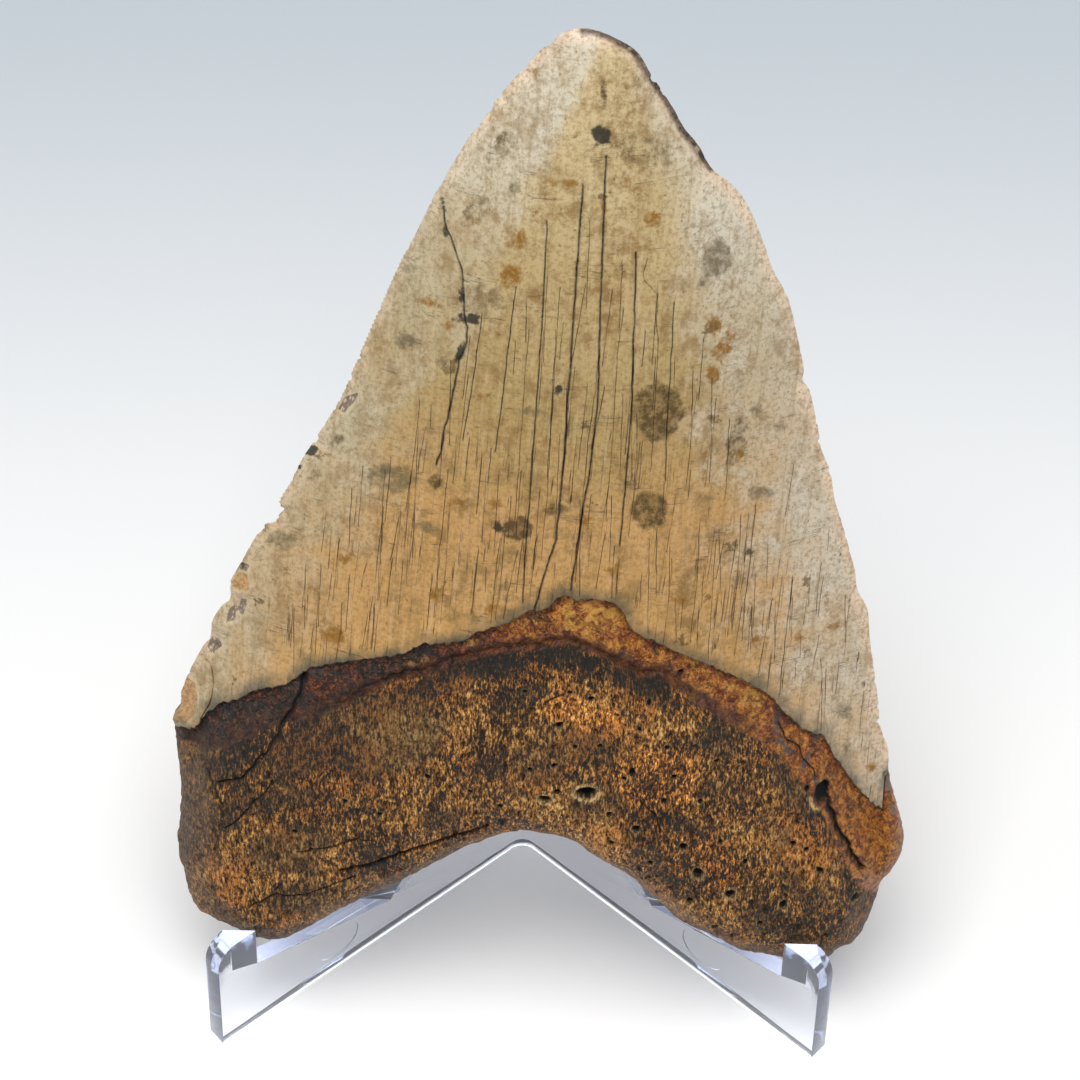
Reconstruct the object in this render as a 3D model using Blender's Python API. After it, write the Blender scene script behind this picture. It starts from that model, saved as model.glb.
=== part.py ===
# A fossil shark tooth leaning back in a clear V-shaped easel.
# Metres, +Z up, the display face of the tooth towards -Y, the easel's feet on z = 0.

import math

import bpy
import bmesh
import numpy as np
from mathutils import Vector
from mathutils.geometry import delaunay_2d_cdt

MM = 0.001

# How the photograph was taken, which turns its pixels into places on the tooth
PIXEL_MM = 0.140  # one pixel on the tooth's middle plane
PICTURE_MIDDLE = 540.0
VIEW_ROLL = math.radians(1.4)
VIEW_RISE = math.radians(52.5)  # how far above level the photograph looks from
VIEW_DISTANCE = 700.0

# How the tooth leans in the easel
LEAN = math.radians(23.0)
PLANE_HEIGHT = 73.2  # of the middle plane's reference point above the table
TILT = VIEW_RISE - LEAN

# Thickness of the tooth in front of and behind its middle plane, mm
CROWN_FRONT, CROWN_BACK = 16.0, 7.0
CROWN_FULLNESS = 26.0  # half width at which the crown nears its full thickness
TIP_RISE = 78.0  # where the crown's thickness starts, up from the reference point
ROOT_LOBE_FRONT, ROOT_BOSS_FRONT, ROOT_BACK = 10.0, 6.5, 8.5
BOSS_MIDDLE, BOSS_REACH = 3.0, 30.0
ROOT_ROUNDING_FRONT, ROOT_ROUNDING_BACK = 14.0, 9.0
ENAMEL_STEP, ROOT_LIP, ROOT_LIP_WIDTH = 0.9, 1.4, 2.5
CHIP_REACH = 6.0  # how far in from the edge its chips still shape the surface
LUMP_HEIGHT, LUMP_LENGTH = 0.16, 27.0
LINE_GAP = 0.45  # the mesh follows the enamel's edge and the root's rim this far to either side

# Mesh fineness, mm
RIM_STEP, FRONT_STEP, BACK_STEP = 2.1, 2.1, 3.4
CROWN_RIM, ROOT_RIM = 1.6, 9.0  # width of the ringed border
FRONT_RINGS, BACK_RINGS = 4, 3

# Easel, mm. Its y is measured from the tooth's reference point
EASEL_MIDDLE_X = -1.5
EASEL_HALF_WIDTH = 43.2
EASEL_FRONT_Y, EASEL_APEX_Y = -38.5, -1.4
PLATE_THICKNESS = 3.1
POST_HEIGHT, HOOK_HEIGHT = 19.5, 23.7
HOOK_ROUND = 3.6
NOTCH_Y, LEDGE_HEIGHT = -34.0, 15.1
UPRIGHT_HEIGHT = 47.0
APEX_ROUND = 2.4
REST_GAP = 0.35

# Outline of the tooth in pixels of the photograph, clockwise from the tip
RIGHT_EDGE = (
    (577, 28), (614, 37), (637, 51), (652, 75), (671, 103), (684, 127), (698, 144), (712, 168),
    (732, 184), (748, 205), (763, 240), (773, 269), (788, 297), (797, 333), (804, 368), (803, 380),
    (810, 391), (818, 426), (822, 450), (831, 472), (835, 499), (845, 532), (855, 570), (858, 590),
    (868, 610), (870, 638), (874, 667), (879, 704), (880, 725), (889, 748), (890, 772), (897, 800),
)
LOWER_EDGE = (
    (903, 822), (904, 842), (896, 861), (883, 877), (878, 892), (866, 920), (855, 935), (840, 942),
    (831, 953), (815, 955), (800, 955), (781, 954), (755, 947), (733, 943), (716, 933), (694, 920),
    (672, 909), (654, 892), (630, 869), (603, 853), (584, 841), (568, 830), (553, 825), (530, 823),
    (507, 826), (482, 834), (457, 845), (430, 860), (391, 880), (357, 896), (325, 914), (311, 923),
    (290, 935), (272, 938), (264, 937), (242, 927), (219, 915), (199, 904), (188, 888), (182, 862),
)
LEFT_EDGE = (
    (177, 843), (179, 807), (180, 779), (176, 749), (172, 717), (179, 706), (184, 682), (202, 647),
    (210, 637), (212, 621), (221, 606), (230, 598), (230, 582), (243, 558), (255, 537), (264, 524),
    (275, 521), (280, 508), (279, 500), (290, 482), (304, 455), (318, 434), (341, 396), (350, 375),
    (367, 335), (382, 301), (401, 259), (415, 234), (438, 188), (468, 138), (480, 124), (495, 100),
    (528, 63), (553, 38),
)

# Where the enamel ends, and where the root's rim starts below the bourlette, left to right
ENAMEL_EDGE = (
    (172, 722), (197, 725), (219, 701), (253, 687), (311, 665), (350, 658), (403, 652), (467, 637),
    (507, 621), (545, 607), (563, 592), (591, 595), (623, 610), (637, 631), (674, 648), (747, 679),
    (780, 705), (822, 730), (850, 776), (882, 812), (905, 820),
)
ROOT_EDGE = (
    (172, 738), (219, 738), (279, 715), (322, 708), (380, 685), (429, 671), (486, 652), (534, 644),
    (563, 637), (605, 650), (637, 669), (677, 684), (736, 717), (778, 738), (820, 790), (850, 812),
    (905, 842),
)

# Large pits of the root: pixel, radius and depth in mm
ROOT_PITS = (((572, 794), 2.2, 1.2), ((436, 817), 2.2, 0.9), ((822, 797), 1.9, 1.2), ((640, 664), 2.4, 1.0))
# The crack that runs from the right shoulder down into the root
ROOT_CRACK = ((822, 797), (837, 834), (852, 860))
CRACK_HALF_WIDTH, CRACK_DEPTH = 1.3, 0.8


def clear_scene():
    for old in list(bpy.data.objects):
        bpy.data.objects.remove(old)


def material(name, colour, roughness, metallic=0.0, alpha=1.0, transmission=0.0):
    made = bpy.data.materials.new(name)
    made.use_nodes = True
    shader = made.node_tree.nodes["Principled BSDF"]
    shader.inputs["Base Color"].default_value = (*colour, 1.0)
    shader.inputs["Roughness"].default_value = roughness
    shader.inputs["Metallic"].default_value = metallic
    shader.inputs["Alpha"].default_value = alpha
    shader.inputs["Transmission Weight"].default_value = transmission
    return made


def smoothstep(value, start, end):
    x = np.clip((value - start) / (end - start), 0.0, 1.0)
    return x * x * (3.0 - 2.0 * x)


def on_tooth(pixels, lift=0.0):
    """The place on the tooth, across and up in mm, seen at these pixels and lifted this far off its plane."""
    pixels = np.asarray(pixels, float)
    right = (pixels[:, 0] - PICTURE_MIDDLE) * PIXEL_MM
    up = (PICTURE_MIDDLE - pixels[:, 1]) * PIXEL_MM
    across = (right * math.cos(VIEW_ROLL) - up * math.sin(VIEW_ROLL)) / VIEW_DISTANCE
    rise = (right * math.sin(VIEW_ROLL) + up * math.cos(VIEW_ROLL)) / VIEW_DISTANCE
    sine, cosine = math.sin(TILT), math.cos(TILT)
    reach = (VIEW_DISTANCE * cosine - lift) / (cosine + rise * sine)
    return np.stack([reach * across, VIEW_DISTANCE * sine + reach * (rise * cosine - sine)], axis=1)


def crown_half_width(up):
    return 1.68 * np.maximum(TIP_RISE - up, 0.05) ** 0.72


def crown_height(up, inset, full):
    """Lens-shaped section: sharp at the edges, thickest in the middle."""
    half = crown_half_width(up)
    x = np.minimum(inset / half, 1.0)
    return full * (1.0 - np.exp(-half / CROWN_FULLNESS)) * (1.0 - (1.0 - x) ** 2)


def round_height(inset, rounding):
    x = np.clip(inset / rounding, 0.0, 1.0)
    return np.sqrt(1.0 - (1.0 - x) ** 2)


def on_front(pixels):
    """Places on the front of the crown, found by lifting each pixel to the surface a few times."""
    lift = np.zeros(len(pixels))
    for _ in range(8):
        places = on_tooth(pixels, lift)
        lift = crown_height(places[:, 1], inset_of(places), CROWN_FRONT)
    return places


def spline_through(points, step):
    """Evenly spaced points along a closed Catmull-Rom curve."""
    before, after = np.roll(points, 1, axis=0), np.roll(points, -1, axis=0)
    later = np.roll(points, -2, axis=0)
    fine = []
    for t in np.arange(0.0, 1.0, 0.125):
        fine.append(0.5 * (2 * points + (after - before) * t
                           + (2 * before - 5 * points + 4 * after - later) * t ** 2
                           + (3 * points - before - 3 * after + later) * t ** 3))
    curve = np.stack(fine, axis=1).reshape(-1, 2)
    closed = np.vstack([curve, curve[:1]])
    along = np.concatenate([[0.0], np.cumsum(np.linalg.norm(np.diff(closed, axis=0), axis=1))])
    count = round(along[-1] / step)
    spots = np.arange(count) * along[-1] / count
    return np.stack([np.interp(spots, along, closed[:, i]) for i in (0, 1)], axis=1)


def outward_normals(points):
    """Outward normals of a clockwise outline."""
    run = np.roll(points, -1, axis=0) - np.roll(points, 1, axis=0)
    run /= np.linalg.norm(run, axis=1)[:, None]
    return np.stack([-run[:, 1], run[:, 0]], axis=1)


def smoothed(points, reach, step):
    """The closed curve blurred along itself over this reach."""
    spread = reach / step
    far = int(3 * spread) + 1
    offsets = np.arange(-far, far + 1)
    weights = np.exp(-0.5 * (offsets / spread) ** 2)
    weights /= weights.sum()
    return sum(w * np.roll(points, o, axis=0) for w, o in zip(weights, offsets))


def tooth_outline():
    """The rim of the tooth on its middle plane, in mm."""
    pixels = RIGHT_EDGE + LOWER_EDGE + LEFT_EDGE
    places = spline_through(on_tooth(pixels), RIM_STEP)
    # The rounded underside hides the rim, so the rim lies above the edge that the photograph shows
    down = np.maximum(-outward_normals(smoothed(places, 4.0, RIM_STEP))[:, 1], 0.0)
    front = ROOT_LOBE_FRONT + root_boss(places[:, 0])
    low = smoothstep(-places[:, 1], 24.0, 38.0)
    hidden = np.hypot(ROOT_ROUNDING_FRONT, front * math.tan(TILT)) - ROOT_ROUNDING_FRONT
    places[:, 1] += hidden * low * down ** 2
    return places


def root_boss(across):
    return ROOT_BOSS_FRONT * np.exp(-(((across - BOSS_MIDDLE) / BOSS_REACH) ** 2))


def distance_to(places, border):
    gap = places[:, None, :] - border[None, :, :]
    run = np.roll(border, -1, axis=0) - border
    t = np.clip((gap * run[None]).sum(2) / (run ** 2).sum(1)[None], 0.0, 1.0)
    return np.sqrt(((gap - t[:, :, None] * run[None]) ** 2).sum(2)).min(1)


def inset_of(places):
    """Distance of each place from the outline, whose chips count only near the edge."""
    near, calm = distance_to(places, OUTLINE), distance_to(places, CALM_OUTLINE)
    inland = smoothstep(near, 0.0, CHIP_REACH)
    return near * (1.0 - inland) + calm * inland


def above_line(places, line):
    """How far each place lies above a line that runs from left to right."""
    return places[:, 1] - np.interp(places[:, 0], line[:, 0], line[:, 1])


def front_height(places, inset):
    enamel = above_line(places, ENAMEL_LINE)
    rim = above_line(places, ROOT_LINE)
    crown = crown_height(places[:, 1], inset, CROWN_FRONT)
    root = (ROOT_LOBE_FRONT + root_boss(places[:, 0])) * round_height(inset, ROOT_ROUNDING_FRONT)
    root += lumps(places) * np.clip(inset / 3.0, 0.0, 1.0)
    rootward = 1.0 - smoothstep(enamel, -12.0, 6.0)
    height = crown * (1.0 - rootward) + root * rootward
    inland = np.clip(inset / 3.0, 0.0, 1.0)
    height -= ENAMEL_STEP * (enamel < 0.0) * inland
    height += ROOT_LIP * (1.0 - smoothstep(rim, -ROOT_LIP_WIDTH, 0.0)) * inland
    return np.maximum(height - pits(places) * inland, 0.05 * np.minimum(inset, 1.0))


def lumps(places):
    """Low uneven swellings of the root."""
    x, y = (places / LUMP_LENGTH * 2.0 * math.pi).T
    return LUMP_HEIGHT * (np.sin(x + 0.7 * y) + np.sin(1.7 * y - 0.6 * x + 1.0) + np.sin(0.45 * x - 1.1 * y + 2.0))


def pits(places):
    deep = np.zeros(len(places))
    for (middle, radius, depth), spot in zip(ROOT_PITS, PIT_PLACES):
        away = np.linalg.norm(places - spot, axis=1) / radius
        deep = np.maximum(deep, depth * (1.0 - smoothstep(away, 0.3, 1.1)))
    for start, end in zip(CRACK_PLACES[:-1], CRACK_PLACES[1:]):
        run = end - start
        t = np.clip((places - start) @ run / (run @ run), 0.0, 1.0)
        away = np.linalg.norm(places - start - t[:, None] * run, axis=1)
        deep = np.maximum(deep, CRACK_DEPTH * (1.0 - smoothstep(away, 0.3, CRACK_HALF_WIDTH)))
    return deep


def back_height(places, inset):
    crown = crown_height(places[:, 1], inset, CROWN_BACK)
    root = ROOT_BACK * round_height(inset, ROOT_ROUNDING_BACK)
    rootward = 1.0 - smoothstep(places[:, 1] + 0.07 * places[:, 0], -34.0, -14.0)
    return crown * (1.0 - rootward) + root * rootward


def is_inside(points, border):
    after = np.roll(border, -1, axis=0)
    crosses = (border[None, :, 1] > points[:, None, 1]) != (after[None, :, 1] > points[:, None, 1])
    climb = after[:, 1] - border[:, 1]
    slope = (after[:, 0] - border[:, 0]) / np.where(climb == 0.0, 1.0, climb)
    meets = border[None, :, 0] + slope * (points[:, None, 1] - border[None, :, 1])
    return (crosses & (points[:, None, 0] < meets)).sum(1) % 2 == 1


def hexagon_points(border, step):
    """Points of a hexagonal grid that lie well inside the border."""
    low, high = border.min(0), border.max(0)
    rows = np.arange(low[1], high[1], step * math.sqrt(0.75))
    points = []
    for i, up in enumerate(rows):
        across = np.arange(low[0] + (i % 2) * step / 2, high[0], step)
        points.append(np.stack([across, np.full(len(across), up)], axis=1))
    points = np.concatenate(points)
    away = np.sqrt(((points[:, None, :] - border[None]) ** 2).sum(2)).min(1)
    return points[is_inside(points, border) & (away > 0.55 * step)]


def along_line(line, step, border):
    """Pairs of points that hug a line from above and below, inside the border."""
    across = np.arange(line[0, 0], line[-1, 0], 0.9 * step)
    middle = np.interp(across, line[:, 0], line[:, 1])
    pairs = [np.stack([across, middle + gap], axis=1) for gap in (-LINE_GAP, LINE_GAP)]
    pairs = np.concatenate(pairs)
    return pairs[is_inside(pairs, border) & (distance_to(pairs, border) > 0.3 * step)]


def tooth_side(mesh, rim, inner_line, ring_count, step, height_of, facing, lines=()):
    """One face of the tooth: rings inwards from the rim, then a grid inside the last ring."""
    corners = rim
    for ring in range(1, ring_count + 1):
        share = 1.0 - math.cos(0.5 * math.pi * ring / ring_count)
        places = OUTLINE + share * (inner_line - OUTLINE)
        heights = height_of(places, inset_of(places)) * facing
        after = [mesh.verts.new(in_world(p, h)) for p, h in zip(places, heights)]
        for i in range(len(after)):
            j = (i + 1) % len(after)
            mesh.faces.new((corners[i], corners[j], after[j], after[i]))
        corners = after
    inner = inner_line
    extra = hexagon_points(inner, step)
    for line in lines:
        beside = along_line(line, step, inner)
        apart = np.sqrt(((extra[:, None] - beside[None]) ** 2).sum(2)).min(1)
        extra = np.concatenate([extra[apart > 0.6 * step], beside])
    flat = [Vector(p) for p in np.concatenate([inner, extra])]
    edges = [(i, (i + 1) % len(inner)) for i in range(len(inner))]
    found = delaunay_2d_cdt(flat, edges, [], 1, 1e-5)
    heights = height_of(extra, inset_of(extra)) * facing
    corners = corners + [mesh.verts.new(in_world(p, h)) for p, h in zip(extra, heights)]
    for face in found[2]:
        mesh.faces.new([corners[found[3][i][0]] for i in face])


def in_world(place, lift):
    """A place on the tooth, lifted off its middle plane, as it leans in the easel, in metres."""
    across, up = place
    back = up * math.sin(LEAN) - lift * math.cos(LEAN)
    high = PLANE_HEIGHT + up * math.cos(LEAN) + lift * math.sin(LEAN)
    return Vector((across * MM, back * MM, high * MM))


def add_object(name, mesh, finish):
    bmesh.ops.recalc_face_normals(mesh, faces=mesh.faces)
    data = bpy.data.meshes.new(name)
    mesh.to_mesh(data)
    mesh.free()
    made = bpy.data.objects.new(name, data)
    bpy.context.scene.collection.objects.link(made)
    if finish:
        data.materials.append(finish)
    return made


def build_tooth():
    mesh = bmesh.new()
    rootward = 1.0 - smoothstep(OUTLINE[:, 1] + 0.07 * OUTLINE[:, 0], -38.0, -29.0)[:, None]
    lively = smoothed(OUTLINE, 1.8, RIM_STEP)
    inner = (lively - CROWN_RIM * outward_normals(lively)) * (1.0 - rootward)
    inner += (CALM_OUTLINE - ROOT_RIM * outward_normals(CALM_OUTLINE)) * rootward
    rim = [mesh.verts.new(in_world(p, 0.0)) for p in OUTLINE]
    tooth_side(mesh, rim, inner, FRONT_RINGS, FRONT_STEP, front_height, 1.0, (ENAMEL_LINE, ROOT_LINE))
    tooth_side(mesh, rim, inner, BACK_RINGS, BACK_STEP, back_height, -1.0)
    tooth = add_object("tooth", mesh, material("fossil_tooth", (0.62, 0.52, 0.36), 0.45))
    tooth.data.shade_smooth()
    tooth.data.set_sharp_from_angle(angle=math.radians(45))
    return tooth


def arc(middle, radius, start, end, steps):
    return [(middle[0] + radius * math.cos(math.radians(start + (end - start) * i / steps)),
             middle[1] + radius * math.sin(math.radians(start + (end - start) * i / steps)))
            for i in range(steps + 1)]


def prism(name, base, sweep, finish=None):
    """A solid swept in a straight line from a flat polygon of points in mm."""
    mesh = bmesh.new()
    start = [mesh.verts.new(Vector(p) * MM) for p in base]
    end = [mesh.verts.new((Vector(p) + Vector(sweep)) * MM) for p in base]
    mesh.faces.new(start)
    mesh.faces.new(end)
    for i in range(len(base)):
        j = (i + 1) % len(base)
        mesh.faces.new((start[i], start[j], end[j], end[i]))
    return add_object(name, mesh, finish)


def plan_of_easel():
    """The V in plan: rounded inside its apex, plain at its two feet."""
    half_angle = math.atan2(EASEL_HALF_WIDTH, EASEL_APEX_Y - EASEL_FRONT_Y)
    out_x = PLATE_THICKNESS * math.cos(half_angle)
    out_y = PLATE_THICKNESS * math.sin(half_angle)
    turn = math.degrees(half_angle)
    inside_y = EASEL_APEX_Y - APEX_ROUND / math.sin(half_angle)
    outside = APEX_ROUND + PLATE_THICKNESS
    points = [(-EASEL_HALF_WIDTH, EASEL_FRONT_Y), (-EASEL_HALF_WIDTH - out_x, EASEL_FRONT_Y + out_y)]
    points += arc((0.0, inside_y), outside, 90 + (90 - turn), 90 - (90 - turn), 10)
    points += [(EASEL_HALF_WIDTH + out_x, EASEL_FRONT_Y + out_y), (EASEL_HALF_WIDTH, EASEL_FRONT_Y)]
    points += arc((0.0, inside_y), APEX_ROUND, 90 - (90 - turn), 90 + (90 - turn), 8)
    return [(EASEL_MIDDLE_X + x, y, 0.0) for x, y in points], half_angle


def cut(target, cutter):
    cutter.hide_render = True
    cutter.display_type = "WIRE"
    modifier = target.modifiers.new("cut by " + cutter.name, "BOOLEAN")
    modifier.operation = "DIFFERENCE"
    modifier.solver = "EXACT"
    modifier.object = cutter


def notch_cutter():
    """What the tooth takes: behind the hooks, above the ledges and in front of the uprights."""
    sine, cosine, slope = math.sin(LEAN), math.cos(LEAN), math.tan(LEAN)
    ledge_up = NOTCH_Y * sine + (LEDGE_HEIGHT - PLANE_HEIGHT) * cosine
    behind = -(ROOT_BACK + REST_GAP)
    heel_y = ledge_up * sine - behind * cosine
    heel_z = PLANE_HEIGHT + ledge_up * cosine + behind * sine
    top = UPRIGHT_HEIGHT + 10.0
    profile = [(NOTCH_Y, LEDGE_HEIGHT), (heel_y, heel_z), (heel_y + (top - heel_z) * slope, top), (NOTCH_Y, top)]
    reach = 3.0 * EASEL_HALF_WIDTH
    base = [(-0.5 * reach, y, z) for y, z in profile]
    return prism("notch_space", base, (reach, 0.0, 0.0))


def hook_cutter(side, half_angle):
    """The space in front of and over one hook's rounded shoulder."""
    along = Vector((-side * math.sin(half_angle), math.cos(half_angle), 0.0))
    across = Vector((side * math.cos(half_angle), math.sin(half_angle), 0.0))
    foot = Vector((EASEL_MIDDLE_X + side * EASEL_HALF_WIDTH, EASEL_FRONT_Y, 0.0))
    rise = HOOK_HEIGHT - POST_HEIGHT
    profile = [(-3.0, POST_HEIGHT), (0.0, POST_HEIGHT)]
    for i in range(1, 7):
        turn = math.radians(15 * i)
        profile.append((HOOK_ROUND * (1 - math.cos(turn)), POST_HEIGHT + rise * math.sin(turn)))
    profile += [(14.0, HOOK_HEIGHT), (14.0, UPRIGHT_HEIGHT + 5.0), (-3.0, UPRIGHT_HEIGHT + 5.0)]
    base = [foot - across * 4.0 + along * t + Vector((0.0, 0.0, z)) for t, z in profile]
    return prism("hook_space_left" if side < 0 else "hook_space_right", base, across * 12.0)


def build_stand():
    plan, half_angle = plan_of_easel()
    clear = material("clear_plastic", (0.86, 0.89, 0.94), 0.08, alpha=0.35, transmission=1.0)
    stand = prism("stand", plan, (0.0, 0.0, UPRIGHT_HEIGHT), clear)
    cut(stand, notch_cutter())
    cut(stand, hook_cutter(-1, half_angle))
    cut(stand, hook_cutter(1, half_angle))
    return stand


def centre_over_footprint(pieces):
    """Puts the middle of the whole footprint on the origin, feet on z = 0."""
    corners = np.concatenate([np.array([v.co for v in piece.data.vertices]) for piece in pieces])
    middle = (corners.min(0) + corners.max(0)) / 2.0
    for thing in bpy.context.scene.objects:
        thing.location = (-middle[0], -middle[1], 0.0)


clear_scene()
OUTLINE = tooth_outline()
CALM_OUTLINE = smoothed(OUTLINE, 5.0, RIM_STEP)
ENAMEL_LINE = on_front(ENAMEL_EDGE)
ROOT_LINE = on_front(ROOT_EDGE)
PIT_PLACES = on_front([pit[0] for pit in ROOT_PITS])
CRACK_PLACES = on_front(ROOT_CRACK)
centre_over_footprint([build_tooth(), build_stand()])
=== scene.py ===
# A fossil shark tooth leaning in its clear easel, over the solids of both

import math

import bpy
import bmesh
import numpy as np
from mathutils import Matrix, Vector, kdtree, noise
from mathutils.geometry import delaunay_2d_cdt


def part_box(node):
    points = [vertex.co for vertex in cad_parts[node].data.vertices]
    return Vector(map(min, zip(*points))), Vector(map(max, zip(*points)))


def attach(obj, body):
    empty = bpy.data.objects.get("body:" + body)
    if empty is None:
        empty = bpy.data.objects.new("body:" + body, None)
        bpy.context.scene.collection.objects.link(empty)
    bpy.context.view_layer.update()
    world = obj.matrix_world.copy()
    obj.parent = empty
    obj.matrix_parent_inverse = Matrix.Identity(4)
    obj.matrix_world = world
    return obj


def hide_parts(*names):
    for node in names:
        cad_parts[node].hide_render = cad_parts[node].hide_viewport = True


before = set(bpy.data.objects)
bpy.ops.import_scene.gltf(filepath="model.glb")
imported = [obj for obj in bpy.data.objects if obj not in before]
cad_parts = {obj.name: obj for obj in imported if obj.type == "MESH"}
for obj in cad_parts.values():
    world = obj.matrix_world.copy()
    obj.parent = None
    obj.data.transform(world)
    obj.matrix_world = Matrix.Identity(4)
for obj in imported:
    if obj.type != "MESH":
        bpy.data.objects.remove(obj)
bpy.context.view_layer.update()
mm = 0.001

# How the photograph was taken, and how the tooth leans
view = {
    "pixels": 1080.0, "middle": 540.0, "pixelMm": 0.140,  # the picture's width, its middle, and a pixel's size
    "roll": math.radians(1.4), "rise": math.radians(52.5), "distance": 700.0, "filmWidth": 36.0,
}
pose = {"lean": math.radians(23.0), "height": 73.2, "besideStand": 1.5, "behindFeet": 38.5}

standLow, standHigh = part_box("stand")
toothOrigin = Vector((
    (standLow.x + standHigh.x) / 2 + pose["besideStand"] * mm,
    standLow.y + pose["behindFeet"] * mm,
    pose["height"] * mm,
))

# The tooth's form, in mm
form = {
    "crownFront": 16.0, "crownBack": 7.0, "crownFullness": 26.0, "tipRise": 78.0,
    "lobeFront": 10.0, "bossFront": 6.5, "rootBack": 8.5, "bossMiddle": 3.0, "bossReach": 30.0,
    "roundFront": 14.0, "roundBack": 9.0,
    "enamelStep": 0.9, "rootLip": 1.4, "rootLipWidth": 2.5, "chipReach": 6.0,
    "lumpHeight": 0.16, "lumpLength": 27.0,
    "crownStrip": 1.6, "rootStrip": 4.5,
}
# How fine the tooth's mesh is, in mm
fineness = {
    "rim": 0.32, "serratedRim": 0.17, "crown": 0.52, "root": 0.385, "back": 1.05,
    "frontRings": 8, "backRings": 5, "frontGap": 0.42, "backGap": 0.6,
}
# How much wider and higher than its radii a hole opens
holeOpening = (1.1, 1.25)
# The paint's regions, and how far in mm from the enamel's edge the first and last begin
regions = ("enamel", "edge", "root")
regionGap = 0.04

# The outline, in pixels of the photograph, clockwise from the tip
rightEdge = (
    (577, 28), (596, 30), (614, 37), (637, 51), (652, 75), (671, 103), (684, 127), (698, 144), (712, 168),
    (732, 184), (748, 205), (763, 240), (773, 269), (788, 297), (797, 333), (804, 368), (803, 380),
    (810, 391), (818, 426), (822, 450), (831, 472), (835, 499), (845, 532), (855, 570), (858, 590),
    (868, 610), (870, 638), (874, 667), (879, 704), (880, 725), (889, 748), (890, 772), (897, 800),
)
lowerEdge = (
    (903, 822), (904, 842), (896, 861), (883, 877), (878, 892), (866, 920), (855, 935), (840, 942),
    (831, 953), (815, 955), (800, 955), (781, 954), (755, 947), (733, 943), (716, 933), (694, 920),
    (672, 909), (654, 892), (630, 869), (603, 853), (584, 841), (568, 830), (553, 825), (530, 823),
    (507, 826), (482, 834), (457, 845), (430, 860), (391, 880), (357, 896), (325, 914), (311, 923),
    (290, 935), (272, 938), (264, 937), (242, 927), (219, 915), (199, 904), (188, 888), (182, 862),
)
leftEdge = (
    (177, 843), (179, 807), (180, 779), (176, 749), (174, 729), (172, 717), (179, 706), (180, 692),
    (184, 682), (191, 668), (202, 647), (210, 637), (212, 621), (221, 606), (230, 598), (230, 582),
    (235, 572), (243, 558), (255, 537), (264, 524), (275, 521), (280, 508), (279, 500), (290, 482),
    (294, 474), (304, 455), (318, 434), (341, 396), (350, 375), (367, 335), (382, 301), (401, 259),
    (415, 234), (438, 188), (468, 138), (480, 124), (495, 100), (528, 63), (553, 38),
)

# Where the enamel ends, and where the root's rim starts below the bourlette, left to right
enamelEdge = (
    (172, 727), (197, 725), (207, 710), (219, 701), (242, 694), (253, 687), (288, 680), (311, 665),
    (350, 658), (380, 655), (403, 652), (425, 641), (450, 641), (467, 637), (476, 631), (507, 621),
    (530, 608), (545, 607), (563, 592), (577, 598), (591, 595), (614, 601), (623, 610), (628, 623),
    (637, 631), (653, 638), (674, 648), (716, 665), (747, 679), (772, 694), (780, 705), (799, 723),
    (822, 730), (831, 747), (850, 776), (870, 799), (882, 812), (884, 790), (886, 776), (893, 768), (908, 765),
)
rimEdge = (
    (172, 738), (219, 738), (230, 733), (279, 715), (322, 708), (352, 696), (380, 685), (400, 677),
    (429, 671), (457, 660), (486, 652), (507, 648), (534, 644), (563, 637), (584, 642), (605, 650),
    (626, 661), (637, 669), (662, 670), (677, 684), (700, 698), (736, 717), (778, 742), (800, 766),
    (820, 794), (832, 814), (842, 838), (855, 862), (872, 880), (908, 896),
)
# The broken edge right of the tip, from the top
brokenEdge = (
    (583, 30), (596, 31), (614, 38), (634, 50), (650, 76), (669, 104), (682, 128), (696, 146), (711, 168),
)
# Where the enamel ends on the back, in mm
backEnamelEdge = (
    (-54.0, -27.0), (-44.0, -26.5), (-32.0, -23.5), (-20.0, -20.5), (-8.0, -18.5), (3.0, -18.0),
    (14.0, -19.0), (26.0, -22.5), (38.0, -28.0), (47.0, -33.0), (56.0, -37.0),
)

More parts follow.
